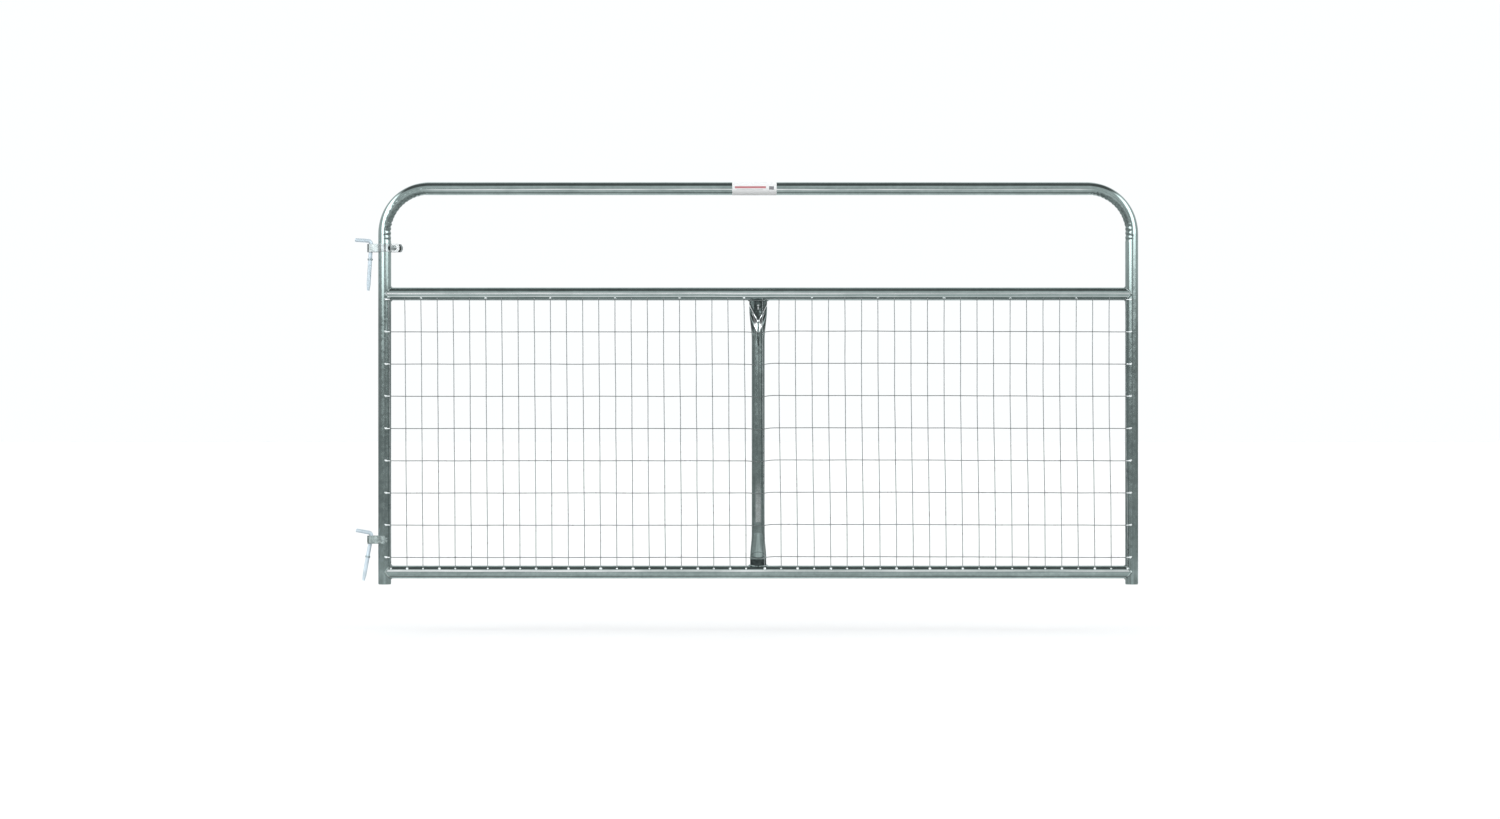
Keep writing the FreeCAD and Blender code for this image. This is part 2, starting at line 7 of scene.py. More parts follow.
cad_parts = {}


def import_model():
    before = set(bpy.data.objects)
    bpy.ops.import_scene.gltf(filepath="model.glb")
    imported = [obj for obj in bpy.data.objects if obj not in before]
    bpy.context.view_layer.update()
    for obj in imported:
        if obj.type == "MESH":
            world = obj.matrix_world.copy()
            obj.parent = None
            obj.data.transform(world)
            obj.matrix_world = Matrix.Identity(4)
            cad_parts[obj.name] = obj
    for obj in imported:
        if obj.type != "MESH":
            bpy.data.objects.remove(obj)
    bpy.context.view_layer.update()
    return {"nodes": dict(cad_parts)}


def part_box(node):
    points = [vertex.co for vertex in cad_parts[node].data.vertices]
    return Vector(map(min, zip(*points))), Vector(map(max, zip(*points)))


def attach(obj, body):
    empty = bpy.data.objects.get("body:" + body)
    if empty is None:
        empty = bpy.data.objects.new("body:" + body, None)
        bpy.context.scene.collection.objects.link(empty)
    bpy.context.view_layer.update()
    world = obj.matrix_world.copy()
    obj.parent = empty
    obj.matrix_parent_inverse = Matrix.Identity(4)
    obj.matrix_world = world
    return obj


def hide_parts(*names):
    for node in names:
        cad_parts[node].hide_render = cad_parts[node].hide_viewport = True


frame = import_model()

# Livestock panel gate. Metres; the hinge axis is the Z axis, +X runs along the gate and the wire
# mesh is on the -Y face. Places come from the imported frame; the values below are details that
# only the visual model has.

MM = 0.001

# ---- Places taken from the frame ----

HOOP_LOW, HOOP_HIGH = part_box("frame_hoop")
TUBE_R = (HOOP_HIGH.y - HOOP_LOW.y) / 2
LEFT_X = HOOP_LOW.x + TUBE_R
RIGHT_X = HOOP_HIGH.x - TUBE_R
TOP_RAIL_Z = HOOP_HIGH.z - TUBE_R
MID_X = (LEFT_X + RIGHT_X) / 2


def middle(node):
    low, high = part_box(node)
    return (low + high) / 2


MID_RAIL_Z = middle("mid_rail").z
BOTTOM_RAIL_Z = middle("bottom_rail").z

BRACE_LOW, BRACE_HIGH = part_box("center_brace")
BRACE_Y = (BRACE_LOW.y + BRACE_HIGH.y) / 2

ROWS_LOW, ROWS_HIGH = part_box("mesh_horizontal_wires")
COLUMNS_LOW, COLUMNS_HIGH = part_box("mesh_vertical_wires")
WIRE_R = (ROWS_HIGH.y - ROWS_LOW.y) / 2
ROW_Y = ROWS_LOW.y + WIRE_R
COLUMN_Y = COLUMNS_LOW.y + WIRE_R
FIRST_ROW_Z = ROWS_LOW.z + WIRE_R
LAST_ROW_Z = ROWS_HIGH.z - WIRE_R

UPPER_STRAP_LOW, UPPER_STRAP_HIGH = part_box("upper_hinge_strap")
UPPER_HINGE_Z = middle("upper_hinge_strap").z
LOWER_HINGE_Z = middle("lower_hinge_strap").z
STRAP_HEIGHT = UPPER_STRAP_HIGH.z - UPPER_STRAP_LOW.z

# ---- Sizes of the visual detail ----

TUBE_WALL = 1.6 * MM
BEND_RADIUS = 140 * MM
HOOP_SIDES = 48
FOOT_CRIMP = 1.0 * MM          # the cut feet turn in slightly
FOOT_CRIMP_HEIGHT = 6 * MM
FINE_BELOW_BEND = 90 * MM      # length of upright that is finely divided
BEND_FLATTENING = 0.035        # how much the bends are squashed in the plane of the gate
WRINKLE_PITCH = 15 * MM
RIPPLE_DEPTH = 0.6 * MM
WRINKLE_DEPTH = 1.9 * MM
CLAMP_MARK_PLACE = -22 * MM    # along the tube, before the bend starts
CLAMP_MARK_DEPTH = 0.8 * MM

MESH_ROWS = 9
BAY_WIRES = 23
LEFT_BAY_PITCH = 50.95 * MM
RIGHT_BAY_PITCH = 52.05 * MM
WIRE_SIDES = 10
RAIL_BEAD_STEPS = 220
BRACE_BEAD_STEPS = 160
COLUMN_DRIFT = 3.4 * MM        # each vertical wire leans by this at both ends
WIRE_WANDER = 0.9 * MM

BRACE_SIDES = 96
BRACE_TOP_WIDTH = 56 * MM
BRACE_TOP_TAPER = 104 * MM
BRACE_BOTTOM_WIDTH = 51 * MM
BRACE_BOTTOM_TAPER = 82 * MM
BRACE_END_FLAT = 22 * MM
V_DEPTH = 69 * MM              # of the V pressed into the top of the brace
V_SLOPE = 2.0
LOBE_HEIGHT = 36 * MM          # of the leaning faces just below the V
LOBE_LEAN = 0.2
V_EDGE_HALF_WIDTH = 14 * MM    # out to the painted shade at the edges below the V, at its apex
V_EDGE_SPREAD = 0.16
FOOT_ARCH_HEIGHT = 44 * MM     # of the arched crease over the pressed foot
FOOT_ARCH_CURVE = 18.0

CRYSTALS_PER_METRE = 110.0
CRYSTAL_DEPTH = 0.001 * MM
STREAK_DEPTH = 0.02 * MM
LINE_SWAY = 0.9 * MM           # of the painted highlight lines along the level tubes
LINE_FADE = 60 * MM
LINE_AT_LATCH = 0.65           # their strength near the latch end; it is 1 towards the hinges
PRINT_BLUR = 0.4 * MM

STRAP_THICKNESS = 3.2 * MM
EYE_MID_R = 10.6 * MM
WAIST_GAP = 1.5 * MM
UPPER_WRAP_R = 22.55 * MM
LOWER_WRAP_R = 22.3 * MM
EAR_Y = 14 * MM
EAR_BEND_R = 3.6 * MM
LOWER_WRAP_PAST_CENTRE = 6 * MM
STRAP_END_ROUND = 18 * MM
STRAP_EDGE = 0.5 * MM

ROD_R = 6.05 * MM
THREAD_R = 6.35 * MM
THREAD_DEPTH = 0.3 * MM
THREAD_PITCH = 2.6 * MM
HOOK_BEND_R = 11 * MM
HOOK_REACH = 51 * MM
HOOK_POINT = 20 * MM
HOOK_POINT_R = 4 * MM
HOOK_EDGE = 1.2 * MM
THREAD_BELOW_KEEPER = 3.75 * MM  # from the middle of the keeper ring

X = Vector((1, 0, 0))
Y = Vector((0, 1, 0))
Z = Vector((0, 0, 1))


def smooth(low, high, value):
    """0 below low, 1 above high, and smooth between; low may be above high."""
    t = min(1.0, max(0.0, (value - low) / (high - low)))
    return t * t * (3 - 2 * t)


def wander(place, seed, pitch):
    """Smooth noise between -1 and 1 along a line."""
    return noise.noise(Vector((place / pitch, seed * 7.31, seed * 3.17)))


def spaced(start, end, count):
    """count + 1 evenly spaced values from start to end."""
    return [start + (end - start) * i / count for i in range(count + 1)]


def turns(count):
    """count evenly spaced angles round a full turn, in radians."""
    return spaced(0, 2 * math.pi, count)[:-1]


def add_object(name, data):
    made = bpy.data.objects.new(name, data)
    bpy.context.scene.collection.objects.link(made)
    return made


# ---- Mesh building ----

class Builder:
    """Collects the vertices and faces of one piece, which may have several separate parts."""

    def __init__(self):
        self.verts = []
        self.faces = []
        self.uvs = []

    def ring(self, points, along=0.0):
        first = len(self.verts)
        self.verts.extend(points)
        self.uvs.extend((i / len(points), along) for i in range(len(points)))
        return list(range(first, first + len(points)))

    def bridge(self, a, b):
        count = len(a)
        for i in range(count):
            j = (i + 1) % count
            self.faces.append((a[i], a[j], b[j], b[i]))

    def cap(self, ring):
        self.faces.append(tuple(ring))

    def tube(self, rings, closed=False):
        """Bridges rings in order; a closed tube joins up, an open one is capped."""
        for a, b in zip(rings, rings[1:]):
            self.bridge(a, b)
        if closed:
            self.bridge(rings[-1], rings[0])
        else:
            self.cap(rings[0])
            self.cap(rings[-1])

    def open_tube(self, outer, inner):
        """A tube with a bore and open ends."""
        for skin in (outer, inner):
            for a, b in zip(skin, skin[1:]):
                self.bridge(a, b)
        self.bridge(outer[0], inner[0])
        self.bridge(outer[-1], inner[-1])

    def finish(self, name, body, material, replaces, sharp=40):
        mesh = bpy.data.meshes.new(name)
        mesh.from_pydata(self.verts, [], self.faces)
        layer = mesh.uv_layers.new(name="UVMap")
        for face in mesh.polygons:
            around = [self.uvs[mesh.loops[i].vertex_index][0] for i in face.loop_indices]
            wraps = max(around) - min(around) > 0.5
            for i, u in zip(face.loop_indices, around):
                along = self.uvs[mesh.loops[i].vertex_index][1]
                layer.data[i].uv = (u + 1 if wraps and u < 0.5 else u, along)
        work = bmesh.new()
        work.from_mesh(mesh)
        bmesh.ops.recalc_face_normals(work, faces=work.faces)
        work.to_mesh(mesh)
        work.free()
        mesh.shade_smooth()
        mesh.set_sharp_from_angle(angle=math.radians(sharp))
        mesh.materials.append(material)
        piece = add_object(name, mesh)
        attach(piece, body)
        if replaces:
            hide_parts(*replaces)
        return piece


def circle(centre, a, b, radius, sides):
    """Points round centre in the plane of unit vectors a and b. The radius may be a function of
    the part of the turn, 0 to 1."""
    points = []
    for turn in spaced(0, 1, sides)[:-1]:
        angle = 2 * math.pi * turn
        size = radius(turn) if callable(radius) else radius
        points.append(centre + (a * math.cos(angle) + b * math.sin(angle)) * size)
    return points


def swept(builder, points, radius_at, sides):
    """A round tube along points that lie near one plane of constant y."""
    rings = []
    along = 0.0
    for i, point in enumerate(points):
        before = points[max(i - 1, 0)]
        after = points[min(i + 1, len(points) - 1)]
        tangent = (after - before).normalized()
        side = tangent.cross(Y).normalized()
        up = side.cross(tangent)
        along += (point - before).length
        rings.append(builder.ring(circle(point, side, up, radius_at(i), sides), along))
    builder.tube(rings)


def blob(builder, centre, radii, seed, sides=12, rows=7, lump=0.22):
    """A lumpy drop of weld metal: an uneven ellipsoid."""
    def at(polar, around):
        direction = Vector((math.sin(polar) * math.cos(around), math.sin(polar) * math.sin(around),
                            math.cos(polar)))
        swell = 1 + lump * noise.noise(direction * 1.7 + Vector((seed * 3.7, seed * 1.3, seed)))
        return centre + Vector((direction.x * radii[0], direction.y * radii[1],
                                direction.z * radii[2])) * swell

    rings = []
    for row in range(1, rows):
        polar = math.pi * row / rows
        rings.append(builder.ring([at(polar, around) for around in turns(sides)]))
    builder.tube(rings)


def bead(builder, path, radius, pitch, seed, closed=True, sides=10):
    """A weld bead along path, a list of (point, outward direction), with the weld's ripples."""
    count = len(path)
    rings = []
    along = 0.0
    for i, (point, out) in enumerate(path):
        before = path[(i - 1) % count][0] if closed or i else point
        after = path[(i + 1) % count][0] if closed or i < count - 1 else point
        tangent = (after - before).normalized()
        out = (out - tangent * out.dot(tangent)).normalized()
        side = tangent.cross(out)
        along += (point - before).length
        ripple = 0.16 * abs(math.sin(math.pi * along / pitch))
        lump = 0.22 * wander(along, seed, 9 * MM)
        size = radius * (0.9 + ripple + lump)
        if not closed:
            size *= math.sqrt(max(0.05, 1 - (2 * i / (count - 1) - 1) ** 6))
        rings.append(builder.ring(circle(point, out, side, size, sides), along))
    builder.tube(rings, closed)


# ---- Materials ----

class Graph:
    """A node tree being built."""

    def __init__(self, tree):
        self.tree = tree

    def put(self, socket, value):
        if isinstance(value, bpy.types.NodeSocket):
            self.tree.links.new(value, socket)
        else:
            socket.default_value = value

    def node(self, kind, inputs=(), **settings):
        made = self.tree.nodes.new(kind)
        for key, value in settings.items():
            setattr(made, key, value)
        for key, value in dict(inputs).items():
            self.put(made.inputs[key], value)
        return made

    def math(self, operation, a, b=0.0, c=0.0):
        return self.node("ShaderNodeMath", {0: a, 1: b, 2: c}, operation=operation).outputs[0]

    def times(self, a, b):
        return self.math("MULTIPLY", a, b)

    def minus(self, a, b):
        return self.math("SUBTRACT", a, b)

    def largest(self, value, *others):
        for other in others:
            value = self.math("MAXIMUM", value, other)
        return value

    def total(self, *terms):
        """Sum of (value, weight) pairs."""
        result = 0.0
        for value, weight in terms:
            result = self.math("MULTIPLY_ADD", value, weight, result)
        return result


class Shader(Graph):
    """The nodes of one material round its Principled shader. It takes the name of a new material,
    or a material that gets further nodes."""

    def __init__(self, material):
        if isinstance(material, str):
            material = bpy.data.materials.new(material)
            material.use_nodes = True
        super().__init__(material.node_tree)
        self.material = material
        self.shader = self.tree.nodes["Principled BSDF"]

    def set(self, **values):
        for key, value in values.items():
            self.put(self.shader.inputs[key.replace("_", " ")], value)

    def coordinates(self, stretch=(1, 1, 1), source="Object"):
        place = self.node("ShaderNodeTexCoord").outputs[source]
        return self.node("ShaderNodeMapping", {"Vector": place, "Scale": stretch}).outputs[0]

    def axes(self):
        """The object's own x, y and z."""
        return self.node("ShaderNodeSeparateXYZ", {"Vector": self.coordinates()}).outputs

    def noise(self, coordinates, scale, detail):
        return self.node("ShaderNodeTexNoise", {"Vector": coordinates, "Scale": scale,
                                                "Detail": detail, "Roughness": 0.55}).outputs[0]

    def cells(self, coordinates, scale):
        """One random value for each zinc crystal."""
        cells = self.node("ShaderNodeTexVoronoi", {"Vector": coordinates, "Scale": scale})
        return self.node("ShaderNodeSeparateColor", {"Color": cells.outputs["Color"]}).outputs[0]

    def remap(self, value, low, high, to_low=0.0, to_high=1.0):
        """to_low up to low, to_high from high on, and a straight ramp between."""
        return self.node("ShaderNodeMapRange", {"Value": value, "From Min": low,
                                                "From Max": high, "To Min": to_low,
                                                "To Max": to_high}).outputs[0]

    def within(self, value, low, high, soft):
        """1 between low and high and 0 outside, with soft edges."""
        return self.times(self.remap(value, low - soft, low + soft),
                          self.remap(value, high - soft, high + soft, 1.0, 0.0))

    def mix(self, share, a, b):
        made = self.node("ShaderNodeMix", data_type="RGBA")
        self.put(made.inputs["Factor"], share)
        self.put(made.inputs[6], a)
        self.put(made.inputs[7], b)
        return made.outputs[2]

    def paint(self, share, colour):
        """Lays another base colour over the one that is there."""
        tone = self.shader.inputs["Base Color"].links[0].from_socket
        self.set(Base_Color=self.mix(share, tone, (*colour, 1)))

    def bump(self, height, distance, strength, under=None):
        made = self.node("ShaderNodeBump", {"Height": height, "Distance": distance,
                                            "Strength": strength})
        if under is not None:
            self.put(made.inputs["Normal"], under)
        return made.outputs[0]


def galvanised(name, dark, light, streak, streak_source="Object", gloss=(0.06, 0.10),
               uneven=0.008):
    """Hot-dip zinc: crystals of slightly different greys, soft stains, fine drawn streaks.
    uneven is the depth of its slow waves in millimetres."""
    made = Shader(name)
    place = made.coordinates()
    crystals = made.cells(place, CRYSTALS_PER_METRE)
    stains = made.remap(made.noise(place, 16.0, 5.0), 0.32, 0.68)
    blotches = made.remap(made.noise(place, 75.0, 3.0), 0.3, 0.7)
    lines = made.noise(made.coordinates(streak, streak_source), 1.0, 3.0)
    drawn = made.remap(lines, 0.3, 0.7)
    tone = made.total((crystals, 0.16), (stains, 0.22), (blotches, 0.16), (drawn, 0.5))
    made.set(Base_Color=made.mix(tone, (*dark, 1), (*light, 1)), Metallic=1.0)
    dull = made.total((crystals, 0.4), (stains, 0.3), (blotches, 0.3))
    made.set(Roughness=made.remap(dull, 0.2, 0.8, *gloss))
    bump = made.bump(made.noise(place, 34.0, 2.0), uneven * MM, 0.5)
    bump = made.bump(crystals, CRYSTAL_DEPTH, 0.5, bump)
    made.set(Normal=made.bump(lines, STREAK_DEPTH, 0.5, bump))
    return made.material


def painted_highlight_lines(material, lines, past_bend=0.0):
    """A painted highlight: a bright line of reflection along the front of each level tube, patchy
    and weaker towards the latch end. lines gives the height of each, and the half widths of its
    core and of its soft edge."""
    made = Shader(material)
    x, y, z = made.axes()
    sway = made.remap(made.noise(made.coordinates((2.5, 1, 1)), 1.0, 2.0), 0.3, 0.7,
                      -LINE_SWAY, LINE_SWAY)
    patchy = made.noise(made.coordinates((5, 9, 9)), 1.0, 3.0)
    share = 0.0
    for height, core, edge in lines:
        off = made.math("ABSOLUTE", made.total((z, 1.0), (sway, 1.0), (height, -1.0)))
        share = made.math("ADD", share, made.remap(off, core, edge, 1.0, 0.0))
    start, end = LEFT_X + past_bend, RIGHT_X - past_bend
    for limit in (made.remap(y, -1 * MM, 0.0, 1.0, 0.0),
                  made.remap(x, start - LINE_FADE, start),
                  made.remap(x, end, end + LINE_FADE, 1.0, 0.0),
                  made.remap(x, MID_X - 0.1, RIGHT_X - 0.4, 1.0, LINE_AT_LATCH),
                  made.remap(patchy, 0.33, 0.6, 0.4, 1.0)):
        share = made.times(share, limit)
    # paints the highlight lines near white into the base colour
    made.paint(share, (0.98, 1.0, 1.0))


def paint_shade_and_highlights_on_pressed_ends(material):
    """Painted shade in the V, beside and below it and across the foot; painted highlights on the
    V's ridge, the lobes under it and a drop inside it; a pale painted reflection of the floor low
    on the middle of the tube."""
    made = Shader(material)
    times, remap, within, largest = made.times, made.remap, made.within, made.largest
    x, _, z = made.axes()
    across = made.minus(x, MID_X)
    aside = made.math("ABSOLUTE", across)
    apex = MID_RAIL_Z - TUBE_R - V_DEPTH
    foot = BOTTOM_RAIL_Z + TUBE_R
    over_v = made.total((z, 1.0), (aside, -V_SLOPE), (apex, -1.0))
    over_arch = made.total((z, 1.0), (times(across, across), FOOT_ARCH_CURVE),
                           (foot + FOOT_ARCH_HEIGHT, -1.0))
    edge = made.total((z, V_EDGE_SPREAD), (V_EDGE_HALF_WIDTH - V_EDGE_SPREAD * apex, 1.0))
    past_edge = remap(made.minus(aside, edge), -1 * MM, 1 * MM)

    def spot(height, half_width, half_height):
        flat = made.math("DIVIDE", across, half_width)
        tall = made.math("DIVIDE", made.minus(z, apex + height), half_height)
        far = made.math("ADD", times(flat, flat), times(tall, tall))
        return remap(far, 0.6, 1.3, 1.0, 0.0)

    # painted shade: the V's panel, its outline, the edges beside it, the middle line, the foot
    # band and the arched crease
    panel = remap(over_v, 2 * MM, 4 * MM, 0.0, 0.9)
    outline = within(over_v, -8 * MM, -4 * MM, 0.6 * MM)
    sides = times(past_edge, remap(z, apex - 34 * MM, apex - 18 * MM))
    middle_line = times(remap(aside, 2.2 * MM, 3.4 * MM, 1.0, 0.0),
                        within(z, apex - 75 * MM, apex - 2 * MM, 2 * MM))
    band = within(z, foot - 6 * MM, foot + 20 * MM, 1 * MM)
    crease = within(over_arch, -2 * MM, 0.0, 0.8 * MM)
    patchy = remap(made.noise(made.coordinates(), 130.0, 3.0), 0.3, 0.7, 1.0, 0.75)
    dark = times(patchy, largest(panel, band, middle_line, times(sides, 0.85),
                                 times(crease, 0.7), times(outline, 0.9)))

    # painted highlights on the lobes, the ridge and the drop, and a painted floor reflection low
    # on the middle
    lobes = times(within(over_v, -40 * MM, -9 * MM, 2 * MM),
                  times(made.minus(1.0, past_edge), remap(aside, 2.8 * MM, 4.0 * MM)))
    ridge = within(over_v, -3.0 * MM, 2.2 * MM, 0.6 * MM)
    drop = made.math("ADD", spot(45 * MM, 2.4 * MM, 5.0 * MM), spot(54 * MM, 3.4 * MM, 1.2 * MM))
    pale = times(times(remap(z, 195 * MM, 199 * MM), remap(z, 250 * MM, 340 * MM, 1.0, 0.0)),
                 remap(aside, 6 * MM, 11 * MM, 0.5, 0.0))
    bright = largest(times(lobes, 0.85), pale, ridge, drop)
    # the painted shade goes on near black, the painted highlights near white
    made.paint(dark, (0.035, 0.045, 0.044))
    made.paint(bright, (0.95, 0.99, 0.99))


def paint_shade_in_inner_bends(material):
    """Painted shade: the squeezed inner side of each bend is darkened in a mottled way, standing
    in for the shade of its wrinkles.
    """
    made = Shader(material)
    x, _, z = made.axes()
    aside = made.math("ABSOLUTE", made.minus(x, MID_X))
    across = made.minus(aside, RIGHT_X - MID_X - BEND_RADIUS)
    up = made.minus(z, TOP_RAIL_Z - BEND_RADIUS)
    share = made.times(made.remap(up, -35 * MM, 0.0), made.remap(across, 0.0, 30 * MM))
    across, up = made.largest(across, 0.0), made.largest(up, 0.0)
    far = made.math("SQRT", made.math("ADD", made.times(across, across), made.times(up, up)))
    inner = made.remap(far, BEND_RADIUS - 9 * MM, BEND_RADIUS - 2 * MM, 1.0, 0.0)
    mottled = made.remap(made.noise(made.coordinates(), 150.0, 4.0), 0.42, 0.6, 0.1, 0.65)
    # paints the mottled shade into the base colour
    made.paint(made.times(share, made.times(inner, mottled)), (0.10, 0.13, 0.127))


def zinc_plate(name, dark, light, gloss, metal=1.0):
    """Electroplated zinc: smoother, with fine scratches and faint stains."""
    made = Shader(name)
    stains = made.noise(made.coordinates(), 60.0, 4.0)
    scratches = made.noise(made.coordinates((1, 1, 6)), 260.0, 3.0)
    colour = made.mix(made.remap(stains, 0.3, 0.7), (*dark, 1), (*light, 1))
    made.set(Base_Color=colour, Metallic=metal, Roughness=made.remap(scratches, 0.3, 0.7, *gloss),
             Normal=made.bump(scratches, 0.04 * MM, 0.6))
    return made.material


def paint_highlight_on_front_ear(material):
    """Painted highlight: the clamp's ear on the mesh side is painted brighter than the rest of the
    strap.
    """
    made = Shader(material)
    x, y, _ = made.axes()
    start = LEFT_X + TUBE_R + 1 * MM
    share = made.times(made.remap(x, start, start + 4 * MM, 0.0, 0.8),
                       made.remap(y, -8 * MM, -2 * MM, 1.0, 0.0))
    # paints the highlight near white over the front ear
    made.paint(share, (0.95, 0.98, 0.98))


def weld_metal(name, dark, light, metal=1.0):
    """Zinc over rough weld metal: patchy bright and dull."""
    made = Shader(name)
    place = made.coordinates()
    patches = made.noise(place, 180.0, 4.0)
    colour = made.mix(made.remap(patches, 0.35, 0.65), (*dark, 1), (*light, 1))
    made.set(Base_Color=colour, Metallic=metal, Roughness=made.remap(patches, 0.3, 0.7, 0.22, 0.5),
             Normal=made.bump(made.noise(place, 500.0, 3.0), 0.2 * MM, 0.8))
    return made.material


def sticker(name, low, high):
    """White vinyl, a little grimy, with painted shade making it darker low down, and a plain
    stripe, rule and block.
    """
    made = Shader(name)
    place = made.coordinates()
    x, _, z = made.axes()
    width, height = high.x - low.x, high.z - low.z
    grime = made.noise(place, 45.0, 5.0)
    made.set(Base_Color=made.mix(made.remap(grime, 0.35, 0.8, 0.0, 0.15), (0.58, 0.585, 0.585, 1),
                                 (0.46, 0.47, 0.47, 1)))
    # painted shade: darker towards the bottom of the label
    made.paint(made.remap(z, low.z, low.z + 0.45 * height, 0.6, 0.0), (0.36, 0.37, 0.37))
    # colour, strength, and the start and end of each print as shares of the width and height
    for colour, strength, x0, x1, z0, z1 in (
            ((0.30, 0.015, 0.03), 0.8, 0.06, 0.76, 0.50, 0.66),
            ((0.14, 0.15, 0.17), 0.45, 0.10, 0.70, 0.38, 0.42),
            ((0.02, 0.015, 0.03), 0.75, 0.83, 0.94, 0.40, 0.66)):
        box = made.times(made.within(x, low.x + x0 * width, low.x + x1 * width, PRINT_BLUR),
                         made.within(z, low.z + z0 * height, low.z + z1 * height, PRINT_BLUR))
        made.paint(made.times(box, strength), colour)
    made.set(Metallic=0.0, Roughness=made.remap(grime, 0.3, 0.7, 0.38, 0.55),
             Normal=made.bump(made.noise(place, 60.0, 2.0), 0.02 * MM, 0.3))
    return made.material


TUBE_GREYS = (0.21, 0.27, 0.26), (0.43, 0.52, 0.505)
PLATE_GREYS = (0.21, 0.24, 0.24), (0.44, 0.48, 0.48)
PLATE_GLOSS = (0.08, 0.22)
ALONG_X, ALONG_TUBE = (3, 90, 90), (22, 3, 1)      # how the drawn streaks are stretched

RAIL_TUBE = galvanised("galvanised_tube_along_x", *TUBE_GREYS, ALONG_X)
UPRIGHT_TUBE = galvanised("galvanised_tube_hoop", *TUBE_GREYS, ALONG_TUBE, "UV")
BRACE_TUBE = galvanised("galvanised_tube_brace", *TUBE_GREYS, ALONG_TUBE, "UV")
paint_shade_and_highlights_on_pressed_ends(BRACE_TUBE)
paint_shade_in_inner_bends(UPRIGHT_TUBE)
# painted highlights: bright reflection lines along the top rail, the mid rail and the bottom rail
painted_highlight_lines(UPRIGHT_TUBE, [(TOP_RAIL_Z - 3.9 * MM, 0.9 * MM, 2.5 * MM)], BEND_RADIUS + 30 * MM)
painted_highlight_lines(RAIL_TUBE, [(MID_RAIL_Z + 0.9 * MM, 1.4 * MM, 3.4 * MM),
                         (MID_RAIL_Z - 8.0 * MM, 0.2 * MM, 1.4 * MM),
                         (BOTTOM_RAIL_Z + 4.6 * MM, 1.8 * MM, 4.0 * MM)])
WIRE = galvanised("galvanised_wire", (0.17, 0.19, 0.19), (0.32, 0.35, 0.35), (60, 60, 60),
                  gloss=(0.25, 0.45), uneven=0.1)
STRAP = galvanised("galvanised_strap", (0.22, 0.27, 0.26), (0.42, 0.49, 0.48), (60, 60, 8),
                   gloss=(0.16, 0.32), uneven=0.3)
WELD = weld_metal("galvanised_weld", (0.10, 0.13, 0.125), (0.50, 0.57, 0.56))
# weld nuggets: a near-white copy, partly the bright weld metal and partly a painted highlight, and
# a darker copy with painted shade for the nuggets under the mid rail
NUGGET = weld_metal("galvanised_nugget", (0.58, 0.63, 0.63), (0.93, 0.97, 0.97), 0.45)
SHADED_NUGGET = weld_metal("galvanised_nugget_shaded", (0.30, 0.34, 0.34), (0.66, 0.71, 0.70), 0.7)
HARDWARE = zinc_plate("zinc_plated_hardware", *PLATE_GREYS, PLATE_GLOSS)
HOOK = zinc_plate("zinc_plated_hook", (0.46, 0.54, 0.59), (0.57, 0.66, 0.72), (0.3, 0.44), 0.5)
RING = zinc_plate("zinc_plated_ring", (0.26, 0.32, 0.34), (0.42, 0.50, 0.53), (0.25, 0.4))
PLATED_STRAP = zinc_plate("zinc_plated_strap", *PLATE_GREYS, PLATE_GLOSS)
paint_highlight_on_front_ear(PLATED_STRAP)
LABEL = sticker("label_vinyl", *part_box("label"))

# the pieces that keep their own shape
for node_name, node_material in (("mid_rail", RAIL_TUBE), ("bottom_rail", RAIL_TUBE),
                                 ("label", LABEL), ("clamp_nut", HARDWARE),
                                 ("clamp_lock_washer", HARDWARE), ("upper_keeper_ring", RING),
                                 ("lower_keeper_ring", RING)):
    for place in frame["nodes"][node_name].material_slots:
        place.material = node_material


# ---- Hoop ----

def hoop_stations():
    """(centre, outward direction, distance past the nearer start of a bend) along the hoop."""
    bend_z = TOP_RAIL_Z - BEND_RADIUS
    fine_z = bend_z - FINE_BELOW_BEND
    heights = [0, 0.5 * MM, 2 * MM, 4 * MM, FOOT_CRIMP_HEIGHT]
    heights += spaced(FOOT_CRIMP_HEIGHT, fine_z, 24)[1:] + spaced(fine_z, bend_z, 36)[1:-1]
    stations = [(Vector((LEFT_X, 0, z)), -X, z - bend_z) for z in heights]
    steps = 96
    arc = BEND_RADIUS * math.pi / 2
    for i in range(steps + 1):
        angle = math.pi - math.pi / 2 * i / steps
        out = Vector((math.cos(angle), 0, math.sin(angle)))
        centre = Vector((LEFT_X + BEND_RADIUS, 0, bend_z)) + out * BEND_RADIUS
        stations.append((centre, out, arc * i / steps))
    for x in spaced(LEFT_X + BEND_RADIUS, RIGHT_X - BEND_RADIUS, 40)[1:-1]:
        stations.append((Vector((x, 0, TOP_RAIL_Z)), Z, None))
    mirrored = []
    for centre, out, past in stations[:len(heights) + steps + 1]:
        mirrored.append((Vector((LEFT_X + RIGHT_X - centre.x, 0, centre.z)),
                         Vector((-out.x, 0, out.z)), past))
    return stations + mirrored[::-1]


